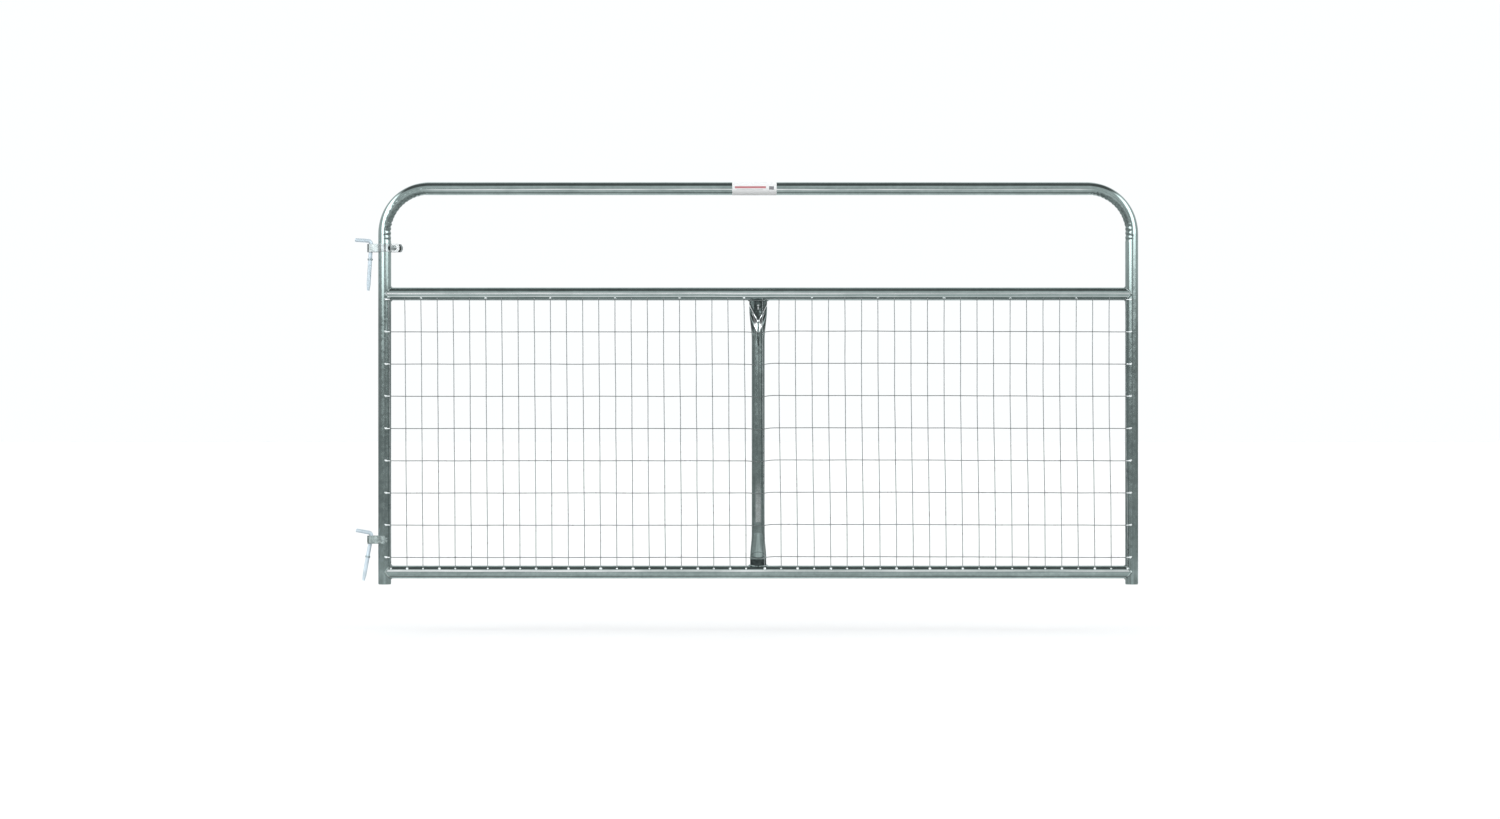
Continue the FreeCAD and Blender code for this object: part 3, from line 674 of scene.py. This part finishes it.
def hoop_radius(angle, past, z, seed):
    """Outside radius of the hoop; angle 0 faces out of the gate, pi into it."""
    if past is None:
        return TUBE_R
    arc = BEND_RADIUS * math.pi / 2
    in_bend = smooth(-0.01, 0.03, past) * smooth(arc + 0.01, arc - 0.03, past)
    radius = TUBE_R - TUBE_R * BEND_FLATTENING * in_bend * math.cos(angle) ** 2
    inner = max(0.0, -math.cos(angle)) ** 1.5
    size = 0.55 + 0.75 * math.exp(-((past - 0.012) / 0.035) ** 2)
    size *= 0.8 + 0.5 * wander(past, seed, 0.02)
    phase = past / WRINKLE_PITCH + 0.25 * wander(past, seed + 5, 0.04)
    wave = 0.5 - 0.5 * math.cos(2 * math.pi * phase)
    reach = smooth(-0.03, 0.0, past) * smooth(arc + 0.005, arc - 0.02, past)
    radius -= WRINKLE_DEPTH * inner * size * wave * reach
    ripple = noise.noise(Vector((past / 0.009, angle * 2.3, seed * 4.0)))
    radius -= RIPPLE_DEPTH * ripple * smooth(0.25, -0.25, math.cos(angle)) * reach
    mark = math.exp(-((past - CLAMP_MARK_PLACE) / 0.004) ** 2)
    mark += 0.7 * math.exp(-((past - CLAMP_MARK_PLACE - 0.014) / 0.004) ** 2)
    radius -= CLAMP_MARK_DEPTH * mark * inner ** 0.5
    if z < FOOT_CRIMP_HEIGHT:
        radius -= FOOT_CRIMP * (1 - z / FOOT_CRIMP_HEIGHT) ** 2
    return radius


def frame_tube():
    builder = Builder()
    outer, inner = [], []
    along = 0.0
    before = None
    for centre, out, past in hoop_stations():
        along += (centre - before).length if before else 0.0
        before = centre
        seed = 1 if centre.x < MID_X else 2
        points, bore = [], []
        for angle in turns(HOOP_SIDES):
            direction = out * math.cos(angle) + Y * math.sin(angle)
            radius = hoop_radius(angle, past, centre.z, seed)
            points.append(centre + direction * radius)
            bore.append(centre + direction * (radius - TUBE_WALL))
        outer.append(builder.ring(points, along))
        inner.append(builder.ring(bore, along))
    builder.open_tube(outer, inner)
    builder.finish("frame_tube", "gate", UPRIGHT_TUBE, ["frame_hoop"])


# ---- Centre brace ----

def brace_width(z, top_start=BRACE_TOP_TAPER, top_end=0.0):
    """Width of the pressed tube at one height."""
    high = MID_RAIL_Z - TUBE_R - BRACE_END_FLAT
    low = BOTTOM_RAIL_Z + TUBE_R + BRACE_END_FLAT
    top = smooth(high - top_start, high - top_end, z)
    bottom = smooth(low + BRACE_BOTTOM_TAPER, low, z)
    return (2 * TUBE_R + (BRACE_TOP_WIDTH - 2 * TUBE_R) * top
            + (BRACE_BOTTOM_WIDTH - 2 * TUBE_R) * bottom)


def pressed_depth(width):
    """Depth of the tube once it is pressed to this width: its outline keeps its length."""
    return (math.pi * 2 * TUBE_R - 2 * width) / (math.pi - 2)


def brace_dent(x, z, half_depth):
    """How far the faces stand in: leaning lobes below a V, a flat panel in it, a pressed foot."""
    top = MID_RAIL_Z - TUBE_R
    valley = top - V_DEPTH + V_SLOPE * abs(x)
    climb = max(0.0, min(z - valley + LOBE_HEIGHT, LOBE_HEIGHT))
    lean = LOBE_LEAN * climb * min(1.0, 2 * climb / LOBE_HEIGHT)
    into = smooth(valley, valley + 6 * MM, z)
    flat = max(0.0, half_depth - pressed_depth(BRACE_TOP_WIDTH) / 2)
    hollow = 1.2 * MM * smooth(14 * MM, 0, abs(x)) * smooth(top, top - 25 * MM, z)
    v_dent = lean * (1 - into) + (flat + hollow) * into
    v_lip = 0.5 * MM * math.exp(-((z - valley) / (1.6 * MM)) ** 2)
    low = BOTTOM_RAIL_Z + TUBE_R
    arch = low + FOOT_ARCH_HEIGHT - FOOT_ARCH_CURVE * x * x
    b_dent = 1.4 * MM * smooth(arch, arch - 3 * MM, z)
    b_lip = 0.5 * MM * math.exp(-((z - arch - 1 * MM) / (1.8 * MM)) ** 2)
    channel = 0.9 * MM * math.exp(-(x / (2.2 * MM)) ** 2) * smooth(
        top - 150 * MM, top - 90 * MM, z) * (1 - into)
    return v_dent - v_lip + b_dent - b_lip + channel


def brace_point(angle, z, inset=0.0):
    """A point of the brace's skin, before it is cut to fit the rails."""
    width = brace_width(z)
    depth = pressed_depth(brace_width(z, 62 * MM, 12 * MM))
    power = 2 / (2 + 1.6 * (width - 2 * TUBE_R) / (2 * TUBE_R))
    c, s = math.cos(angle), math.sin(angle)
    x = (width / 2 - inset) * math.copysign(abs(c) ** power, c)
    y = (depth / 2 - inset) * math.copysign(abs(s) ** power, s)
    face = smooth(0.0, 0.6, abs(s))
    y -= math.copysign(min(brace_dent(x, z, abs(y)) * face, abs(y) * 0.8), s)
    return x, y


def coped(y, z):
    """The brace's end meets the round rail, so its height depends on y."""
    drop = math.sqrt(max(0.0, TUBE_R ** 2 - min(abs(y + BRACE_Y), TUBE_R) ** 2))
    top, bottom = MID_RAIL_Z - TUBE_R, BOTTOM_RAIL_Z + TUBE_R
    if z > (BOTTOM_RAIL_Z + MID_RAIL_Z) / 2:
        return z + (TUBE_R - drop) * smooth(top - 20 * MM, top, z)
    return z - (TUBE_R - drop) * smooth(bottom + 20 * MM, bottom, z)


def brace_tube():
    builder = Builder()
    low, high = BOTTOM_RAIL_Z + TUBE_R, MID_RAIL_Z - TUBE_R
    foot, head = 110 * MM, 150 * MM        # lengths of the finely divided ends
    heights = (spaced(low, low + foot, 60) + spaced(low + foot, high - head, 16)[1:-1]
               + spaced(high - head, high, 90))
    rings = [], []
    for z in heights:
        for wall in (0, 1):
            points = []
            for angle in turns(BRACE_SIDES):
                x, y = brace_point(angle, z, wall * TUBE_WALL)
                points.append(Vector((MID_X + x, BRACE_Y + y, coped(y, z))))
            rings[wall].append(builder.ring(points, z))
    builder.open_tube(*rings)
    builder.finish("brace_tube", "gate", BRACE_TUBE, ["center_brace"], 60)


# ---- Wire mesh ----

def column_places():
    left = [COLUMNS_LOW.x + WIRE_R + i * LEFT_BAY_PITCH for i in range(BAY_WIRES)]
    right = [COLUMNS_HIGH.x - WIRE_R - i * RIGHT_BAY_PITCH for i in range(BAY_WIRES)]
    return left + right[::-1]


def column_x(place, index, z):
    """Where a vertical wire is at one height: it leans, and wanders a little."""
    part = (z - COLUMNS_LOW.z) / (COLUMNS_HIGH.z - COLUMNS_LOW.z)
    if place < MID_X:
        lean = COLUMN_DRIFT * (1 - 2 * part)
    else:
        lean = COLUMN_DRIFT * (1 - 2 * smooth(0.0, 0.75, part))
    return place + lean + WIRE_WANDER * wander(z, index, 0.13)


def row_places():
    return spaced(FIRST_ROW_Z, LAST_ROW_Z, MESH_ROWS - 1)


def row_z(place, index, x):
    """How high a horizontal wire is at x: it sags past the brace and steps up beyond it."""
    step = 2.4 * MM * smooth(MID_X, MID_X + 0.05, x) * smooth(RIGHT_X, MID_X + 0.3, x)
    dip = -3.4 * MM * math.exp(-((x - MID_X - 2 * MM) / 0.022) ** 2)
    return place + step + dip + 0.8 * WIRE_WANDER * wander(x, index + 60, 0.11)


def vertical_wires():
    builder = Builder()
    for index, place in enumerate(column_places()):
        points = []
        for z in spaced(COLUMNS_LOW.z, COLUMNS_HIGH.z, 40):
            kink = 0.9 * MM * wander(index * 0.37, 3, 0.2) * smooth(0.06, 0.0, COLUMNS_HIGH.z - z)
            points.append(Vector((column_x(place, index, z) + kink, COLUMN_Y, z)))
        swept(builder, points, lambda i: WIRE_R, WIRE_SIDES)
    builder.finish("wires_vertical", "gate", WIRE, ["mesh_vertical_wires"])


def horizontal_wires():
    builder = Builder()
    for index, place in enumerate(row_places()):
        points = [Vector((x, ROW_Y, row_z(place, index, x)))
                  for x in spaced(ROWS_LOW.x, ROWS_HIGH.x, 180)]
        swept(builder, points, lambda i: WIRE_R, WIRE_SIDES)
    builder.finish("wires_horizontal", "gate", WIRE,
                   ["mesh_horizontal_wires"])


def crossing_welds():
    """The little flats where the two wires of each crossing are fused."""
    builder = Builder()
    for column, x in enumerate(column_places()):
        for row, z in enumerate(row_places()):
            at_x = column_x(x, column, z)
            centre = Vector((at_x, (ROW_Y + COLUMN_Y) / 2, row_z(z, row, at_x)))
            blob(builder, centre, (1.7 * MM, 1.0 * MM, 1.7 * MM), column * MESH_ROWS + row,
                 sides=8, rows=5)
    builder.finish("wire_crossing_welds", "gate", WIRE, [])


def rail_nuggets(name, node, z_end, places, large, material):
    """Weld nuggets on the wire ends along one rail."""
    builder = Builder()
    for index, x in places:
        size = (3.9 if large(index) else 2.7) * MM
        at_x = column_x(x, index, z_end)
        centre = Vector((at_x, COLUMN_Y + 0.6 * MM, z_end))
        spread = 1 + 0.35 * wander(index * 0.31, 8, 0.2)
        blob(builder, centre, (size * spread, size * 0.75, size), index)
        if large(index):
            blob(builder, centre + Vector((1.8 * MM * spread, 0.6 * MM, -2.2 * MM)),
                 (size * 0.7, size * 0.5, size * 0.55), index + 50)
    builder.finish(name, "gate", material, [node])


def upright_nuggets(name, node, upright_x, inward):
    """Weld nuggets that tie the horizontal wires to one upright, each with a tail either way."""
    builder = Builder()
    for index, z in enumerate(row_places()):
        end_x = ROWS_LOW.x if inward > 0 else ROWS_HIGH.x
        at_z = row_z(z, index, end_x)
        centre = Vector((end_x - inward * 0.5 * MM, ROW_Y + 0.7 * MM, at_z + 0.4 * MM))
        blob(builder, centre, (4.3 * MM, 2.5 * MM, 3.1 * MM), index + 20)
        tip = Vector((upright_x + inward * 1.2 * MM, -TUBE_R - 0.4 * MM, at_z + 2.8 * MM))
        drip = Vector((upright_x + inward * (TUBE_R - 2 * MM), ROW_Y, at_z))
        for end, taper in ((tip, 0.12), (drip, 0.14)):
            swept(builder, [centre.lerp(end, part) for part in spaced(0, 1, 6)],
                  lambda i, taper=taper: (2.3 - taper * i) * MM, 10)
    builder.finish(name, "gate", NUGGET, [node])


# ---- Weld beads ----

def saddle_bead(name, upright_x, inward, rail_z, seed):
    """Bead round the coped end of a rail."""
    builder = Builder()
    path = []
    for angle in turns(RAIL_BEAD_STEPS):
        s, c = math.sin(angle), math.cos(angle)
        reach = math.sqrt((TUBE_R * s) ** 2 + (4 * MM) ** 2)
        point = Vector((upright_x + inward * reach, TUBE_R * c, rail_z + TUBE_R * s))
        out = Vector((inward * reach / TUBE_R, c, 0)) + Vector((0, c, s))
        path.append((point - out.normalized() * 0.6 * MM, out))
    bead(builder, path, radius=3.3 * MM, pitch=4.2 * MM, seed=seed)
    for spot, angle in enumerate(map(math.radians, (-118, -62, -100, -150))):
        s, c = math.sin(angle), math.cos(angle)
        reach = abs(TUBE_R * c) + 2.2 * MM
        centre = Vector((upright_x + inward * reach, TUBE_R * s,
                         rail_z - TUBE_R * c * (-1) ** spot))
        blob(builder, centre, (3.2 * MM, 1.9 * MM, 3.0 * MM), seed * 10 + spot)
    builder.finish(name, "gate", WELD, [name.replace("bead", "weld")])


def brace_bead(name, node, rail_z, side, seed):
    builder = Builder()
    path = []
    edge = rail_z + side * TUBE_R
    for angle in turns(BRACE_BEAD_STEPS):
        x, y = brace_point(angle, edge)
        near_x, near_y = brace_point(angle + 0.01, edge)
        normal = Vector((near_y - y, x - near_x, 0))
        if normal.x * x + normal.y * y < 0:
            normal = -normal
        height = side * math.sqrt(max(0.0, TUBE_R ** 2 - (y + BRACE_Y) ** 2))
        rail_normal = Vector((0, y + BRACE_Y, height)) / TUBE_R
        out = normal.normalized() + rail_normal
        point = Vector((MID_X + x, BRACE_Y + y, rail_z + height)) + out.normalized() * 0.3 * MM
        path.append((point, out))
    bead(builder, path, radius=2.0 * MM, pitch=3.8 * MM, seed=seed)
    size = 1.0 if side > 0 else 0.75
    for corner in (-1, 1):
        x, y = brace_point(0 if corner > 0 else math.pi, edge)
        height = side * math.sqrt(TUBE_R ** 2 - BRACE_Y ** 2)
        centre = Vector((MID_X + x + corner * 1.5 * MM, BRACE_Y - 2 * MM, rail_z + height))
        blob(builder, centre, (4.2 * MM * size, 5.0 * MM * size, 3.6 * MM * size),
             seed * 10 + corner)
    builder.finish(name, "gate", WELD, [node])


def strap_beads():
    builder = Builder()
    low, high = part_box("lower_hinge_welds")
    x = (low.x + high.x) / 2 - 0.3 * MM
    for side, y in ((-1, low.y + 2 * MM), (1, high.y - 2 * MM)):
        path = [(Vector((x, y, z)), Vector((0.5, side, 0)))
                for z in spaced(low.z + 1 * MM, high.z - 1 * MM, 24)]
        bead(builder, path, radius=2.5 * MM, pitch=3.6 * MM, seed=40 + side, closed=False)
    builder.finish("lower_hinge_beads", "gate", WELD, ["lower_hinge_welds"])


# ---- Hinge straps ----

def arc_points(cx, cy, radius, start, end):
    """Points along an arc in plan; degrees."""
    angles = [math.radians(a) for a in spaced(start, end, max(2, round(abs(end - start) / 6)))]
    return [Vector((cx + radius * math.cos(a), cy + radius * math.sin(a), 0)) for a in angles]


def waist(wrap_radius):
    gap = (WAIST_GAP + STRAP_THICKNESS) / 2
    low, high = 1 * MM, 60 * MM
    for _ in range(60):
        radius = (low + high) / 2
        far, near = wrap_radius + radius, EYE_MID_R + radius
        x = (near ** 2 - far ** 2 + LEFT_X ** 2) / (2 * LEFT_X)
        y = math.sqrt(near ** 2 - x * x)
        low, high = (radius, high) if y > gap + radius else (low, radius)
    return radius, x, y


def leg_points(wrap_radius, ear_end):
    """Centreline of the +Y leg from its free end to the eye's mouth."""
    radius, x, y = waist(wrap_radius)
    to_eye = math.degrees(math.atan2(-y, -x))
    to_upright = math.degrees(math.atan2(-y, LEFT_X - x))
    wrap_start = 180 + to_upright
    if ear_end is None:
        wrap_end = math.degrees(math.acos(LOWER_WRAP_PAST_CENTRE / wrap_radius))
        points = []
    else:
        bend_y = EAR_Y + EAR_BEND_R
        bend_dx = math.sqrt((wrap_radius + EAR_BEND_R) ** 2 - bend_y ** 2)
        bend_x = LEFT_X + bend_dx
        wrap_end = math.degrees(math.atan2(bend_y, bend_dx))
        points = [Vector((ear_x, EAR_Y, 0)) for ear_x in spaced(ear_end, bend_x, 20)[:-1]]
        points += arc_points(bend_x, bend_y, EAR_BEND_R, 270, 180 + wrap_end)
    points += arc_points(LEFT_X, 0, wrap_radius, wrap_end, wrap_start)
    points += arc_points(x, y, radius, to_upright, to_eye)
    mouth = math.degrees(math.atan2(y, x))
    return points, mouth


def strap(name, node, body, material, hinge_z, wrap_radius, rear_end, front_end):
    """One hinge strap, swept along its plan with eased edges and rounded ends."""
    rear, mouth = leg_points(wrap_radius, rear_end)
    front, _ = leg_points(wrap_radius, front_end)
    eye = arc_points(0, 0, EYE_MID_R, mouth, 360 - mouth)
    plan = rear + eye + [Vector((p.x, -p.y, 0)) for p in front[::-1]]
    path = [plan[0]]
    for point in plan[1:]:
        if (point - path[-1]).length > 0.2 * MM:
            path.append(point)
    lengths = [0.0]
    for a, b in zip(path, path[1:]):
        lengths.append(lengths[-1] + (b - a).length)
    half_t, half_h, edge = STRAP_THICKNESS / 2, STRAP_HEIGHT / 2, STRAP_EDGE
    builder = Builder()
    rings = []
    for i, point in enumerate(path):
        before, after = path[max(i - 1, 0)], path[min(i + 1, len(path) - 1)]
        tangent = (after - before).normalized()
        side = Vector((-tangent.y, tangent.x, 0))
        from_end = min(lengths[i], lengths[-1] - lengths[i])
        height = half_h
        if from_end < STRAP_END_ROUND:
            height = min(half_h, math.sqrt(
                STRAP_END_ROUND ** 2 - (STRAP_END_ROUND - max(from_end, 0.4 * MM)) ** 2))
        corners = []
        for su, sv in ((1, 1), (-1, 1), (-1, -1), (1, -1)):
            turns = ((0, 1), (0.5, 0.87), (0.87, 0.5), (1, 0))
            for a, b in (turns if su * sv < 0 else turns[::-1]):
                u = su * (half_t - edge + edge * b)
                v = sv * (height - edge + edge * a)
                corners.append(point + side * u + Z * (hinge_z + v))
        rings.append(builder.ring(corners, lengths[i]))
    builder.tube(rings)
    builder.finish(name, body, material, [node], 35)


# ---- Fasteners ----

def thread_radius(turn, outside, depth):
    """Radius of a screw thread at one point of its turn, 0 to 1."""
    turn -= math.floor(turn)
    height = 1 - abs(2 * turn - 1)
    return outside - depth + depth * smooth(0.18, 0.82, height)


def bolt():
    """Hexagon bolt with a chamfered head at the rear and thread showing past the nut."""
    low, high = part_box("clamp_bolt")
    nut_low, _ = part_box("clamp_nut")
    centre = (low + high) / 2
    apothem, head = 7.15 * MM, 6.2 * MM
    shank, pitch = 4.75 * MM, 1.6 * MM
    builder = Builder()
    sides = 72
    face = high.y - head

    def hexagon(angle):
        return apothem / math.cos((angle + math.pi / 6) % (math.pi / 3) - math.pi / 6)

    def ring(radius_at, y_at):
        """radius_at and y_at give the radius and the place along the bolt at each angle."""
        points = []
        for angle in turns(sides):
            points.append(Vector((centre.x + radius_at(angle) * math.cos(angle), y_at(angle),
                                  UPPER_HINGE_Z + radius_at(angle) * math.sin(angle))))
        return builder.ring(points)

    crown = apothem - 0.3 * MM
    rings = [ring(lambda a: crown, lambda a: high.y),
             ring(hexagon, lambda a: high.y - (hexagon(a) - crown) / 1.7),
             ring(hexagon, lambda a: face), ring(lambda a: shank, lambda a: face)]
    threaded = nut_low.y + 4 * MM
    steps = round((threaded - low.y) / (pitch / 8))
    for y in spaced(face, threaded, 8)[1:] + spaced(threaded, low.y, steps)[1:]:
        limit = shank - 1.0 * MM * (1 - smooth(low.y, low.y + 1.2 * MM, y))

        def radius_at(angle):
            if y >= threaded:
                return shank
            return min(limit, thread_radius(y / pitch + angle / (2 * math.pi), shank, 0.75 * MM))

        rings.append(ring(radius_at, lambda a: y))
    builder.tube(rings)
    builder.finish("clamp_bolt_threaded", "hinge_clamp", HARDWARE,
                   ["clamp_bolt"], 35)


# ---- Screw hooks ----

def screw_hook(name, node, body, hinge_z, length, arm_rise, keeper_drop, tilt):
    """L-shaped hook with its cut thread, made upright about the eye and then leant over."""
    builder = Builder()
    top = arm_rise + ROD_R
    thread_top = top - keeper_drop - THREAD_BELOW_KEEPER
    thread_end = top - length + HOOK_POINT
    tip = top - length
    bend_z = arm_rise - HOOK_BEND_R
    rings = []
    place = Matrix.Translation((0, 0, hinge_z)) @ Matrix.Rotation(math.radians(tilt), 4, "Y")

    def ring(centre, a, b, radius):
        points = [place @ point for point in circle(centre, a, b, radius, 28)]
        rings.append(builder.ring(points, len(rings) * MM))

    end = -HOOK_REACH
    for dx, radius in ((0, ROD_R - HOOK_EDGE), (0.35 * HOOK_EDGE, ROD_R - 0.5 * HOOK_EDGE),
                       (HOOK_EDGE, ROD_R - 0.08 * HOOK_EDGE), (1.6 * HOOK_EDGE, ROD_R)):
        ring(Vector((end + dx, 0, arm_rise)), Z, Y, radius)
    for x in spaced(end + 1.6 * HOOK_EDGE, -HOOK_BEND_R, 8)[1:-1]:
        ring(Vector((x, 0, arm_rise)), Z, Y, ROD_R)
    for angle in spaced(math.pi / 2, 0, 16):
        out = Vector((math.cos(angle), 0, math.sin(angle)))
        ring(Vector((-HOOK_BEND_R, 0, bend_z)) + out * HOOK_BEND_R, out, Y, ROD_R)
    for z in spaced(bend_z, thread_top, 12)[1:]:
        ring(Vector((0, 0, z)), X, Y, ROD_R)
    steps = round((thread_top - tip) / (THREAD_PITCH / 8))
    for z in spaced(thread_top, tip, steps)[1:]:
        rise = smooth(thread_top, thread_top - THREAD_PITCH, z)
        outside = ROD_R + (THREAD_R - ROD_R) * rise
        if z < thread_end:
            share = (thread_end - z) / HOOK_POINT
            outside = THREAD_R + (HOOK_POINT_R - THREAD_R) * share
        depth = THREAD_DEPTH * rise
        ring(Vector((0, 0, z)), X, Y,
             lambda t, z=z, o=outside, d=depth: thread_radius(z / THREAD_PITCH + t, o, d))
    builder.tube(rings)
    builder.finish(name, body, HOOK, [node], 50)


# ---- Make every piece ----

frame_tube()
brace_tube()
vertical_wires()
horizontal_wires()
crossing_welds()

PLACES = list(enumerate(column_places()))
rail_nuggets("nuggets_bottom_rail", "mesh_welds_bottom_rail", COLUMNS_LOW.z, PLACES,
             lambda i: i % 2, NUGGET)
# the nuggets under the mid rail get the copy with painted shade
rail_nuggets("nuggets_mid_rail", "mesh_welds_mid_rail", COLUMNS_HIGH.z - 2 * MM, PLACES[2::4],
             lambda i: True, SHADED_NUGGET)
upright_nuggets("nuggets_hinge_upright", "mesh_welds_hinge_upright", LEFT_X, 1)
upright_nuggets("nuggets_latch_upright", "mesh_welds_latch_upright", RIGHT_X, -1)

saddle_bead("mid_rail_bead_hinge_end", LEFT_X, 1, MID_RAIL_Z, 1)
saddle_bead("mid_rail_bead_latch_end", RIGHT_X, -1, MID_RAIL_Z, 2)
saddle_bead("bottom_rail_bead_hinge_end", LEFT_X, 1, BOTTOM_RAIL_Z, 3)
saddle_bead("bottom_rail_bead_latch_end", RIGHT_X, -1, BOTTOM_RAIL_Z, 4)
brace_bead("brace_top_bead", "brace_top_weld", MID_RAIL_Z, -1, 5)
brace_bead("brace_bottom_bead", "brace_bottom_weld", BOTTOM_RAIL_Z, 1, 6)
strap_beads()

strap("upper_strap", "upper_hinge_strap", "hinge_clamp", PLATED_STRAP,
      UPPER_HINGE_Z, UPPER_WRAP_R, rear_end=99.8 * MM, front_end=91.6 * MM)
strap("lower_strap", "lower_hinge_strap", "gate", STRAP,
      LOWER_HINGE_Z, LOWER_WRAP_R, rear_end=None, front_end=None)
bolt()
screw_hook("upper_screw_hook_rod", "upper_hook", "upper_screw_hook", UPPER_HINGE_Z,
           length=163 * MM, arm_rise=22.5 * MM, keeper_drop=64.7 * MM, tilt=3.5)
screw_hook("lower_screw_hook_rod", "lower_hook", "lower_screw_hook", LOWER_HINGE_Z,
           length=158 * MM, arm_rise=21.0 * MM, keeper_drop=81.5 * MM, tilt=10.2)


# ---- Studio ----

FLOOR_Z = -0.15
FLOOR_REACH = 70.0
SKY, OVERHEAD, HORIZON, BACKDROP, WINDOW_LIGHT = 0.82, 0.17, 0.37, 1.02, 2.8
GROUND, GROUND_ASIDE, GROUND_BELOW = 0.85, 0.55, 0.40
# start and end azimuth at the horizon, low and high elevation, and how fast they lean outwards;
# 0 is straight in front, + is towards +X
WINDOWS = ((-46, -3, 1.8, 47, -1.3), (20, 66, 2.35, 47, 0.7))
CAMERA_DISTANCE = 12.0
PICTURE_WIDTH = 4.737          # metres across the picture at the gate
AIM = Vector((1.1974, 0.0, 0.552))


def floor():
    """A plain pale floor all round the gate."""
    mesh = bpy.data.meshes.new("studio_floor")
    corners = [(x * FLOOR_REACH, y * FLOOR_REACH, FLOOR_Z)
               for x, y in ((-1, -1), (1, -1), (1, 1), (-1, 1))]
    mesh.from_pydata(corners, [], [(0, 1, 2, 3)])
    made = Shader("studio_floor")
    speckle = made.noise(made.coordinates(), 3.0, 3.0)
    made.set(Base_Color=made.mix(speckle, (0.69, 0.69, 0.69, 1), (0.71, 0.71, 0.71, 1)),
             Roughness=0.8)
    mesh.materials.append(made.material)
    piece = add_object("studio_floor", mesh)
    piece.visible_glossy = False


def sun(name, direction, strength, angle):
    """A very soft overhead light that only lights matt surfaces."""
    data = bpy.data.lights.new(name, "SUN")
    data.energy = strength
    data.angle = math.radians(angle)
    piece = add_object(name, data)
    piece.rotation_mode = "QUATERNION"
    piece.rotation_quaternion = Vector(direction).to_track_quat("-Z", "Y")
    piece.visible_glossy = False


def world():
    """A pale backdrop behind the gate; in front, a dim horizon, a sky that is darker overhead
    and two tall bright windows."""
    made = bpy.data.worlds.new("studio")
    bpy.context.scene.world = made
    made.use_nodes = True
    made.node_tree.nodes.clear()
    graph = Graph(made.node_tree)
    both = graph.times
    direction = graph.node("ShaderNodeTexCoord").outputs["Generated"]
    x, y, z = graph.node("ShaderNodeSeparateXYZ", {"Vector": direction}).outputs
    azimuth = graph.math("ARCTAN2", x, graph.times(y, -1.0))
    aside = graph.math("ABSOLUTE", azimuth)
    elevation = graph.math("ARCSINE", z)

    def ramp(value, dark, bright):
        """0 at the angle dark, 1 at the angle bright, in degrees."""
        low, high = sorted((math.radians(dark), math.radians(bright)))
        rising = 1.0 if bright > dark else 0.0
        return graph.node("ShaderNodeMapRange", {
            "Value": value, "From Min": low, "From Max": high, "To Min": 1.0 - rising,
            "To Max": rising}, interpolation_type="SMOOTHSTEP").outputs[0]

    def window(start, end, low, high, lean):
        leant = graph.math("MULTIPLY_ADD", elevation, -lean, azimuth)
        sides = both(ramp(leant, start - 2, start + 2), ramp(leant, end + 1.5, end - 1.5))
        return both(sides, both(ramp(elevation, low - 0.15, low + 0.15),
                                ramp(elevation, high + 12, high - 12)))

    def blend(share, under, over):
        """under where share is 0, over where it is 1."""
        return graph.math("MULTIPLY_ADD", share, graph.minus(over, under), under)

    ground = blend(ramp(aside, 12, 30), GROUND, GROUND_ASIDE)
    ground = blend(ramp(elevation, -58, -72), ground, GROUND_BELOW)
    sky = blend(ramp(elevation, 44, 52), SKY, OVERHEAD)
    light = blend(ramp(elevation, -4, -3), ground, sky)
    light = blend(both(ramp(elevation, 2.0, 1.4), ramp(elevation, -2.7, -2.1)), light, HORIZON)
    for shape in WINDOWS:
        light = graph.math("MULTIPLY_ADD", window(*shape), WINDOW_LIGHT, light)
    backdrop = both(ramp(aside, 140, 165), ramp(elevation, 72, 62))
    light = graph.largest(light, both(backdrop, BACKDROP))
    background = graph.node("ShaderNodeBackground", {"Color": (0.97, 0.99, 1.0, 1),
                                                     "Strength": light})
    graph.node("ShaderNodeOutputWorld", {0: background.outputs[0]})


def camera():
    data = bpy.data.cameras.new("camera")
    data.sensor_width = 36.0
    data.lens = data.sensor_width * CAMERA_DISTANCE / PICTURE_WIDTH
    data.clip_start, data.clip_end = 0.1, 100.0
    piece = add_object("camera", data)
    piece.location = AIM - Y * CAMERA_DISTANCE
    piece.rotation_mode = "QUATERNION"
    piece.rotation_quaternion = Y.to_track_quat("-Z", "Y")
    bpy.context.scene.camera = piece


floor()
world()
sun("overhead", direction=(0.05, 0.12, -1), strength=1.9, angle=100)
camera()
bpy.context.scene.view_settings.view_transform = "Standard"
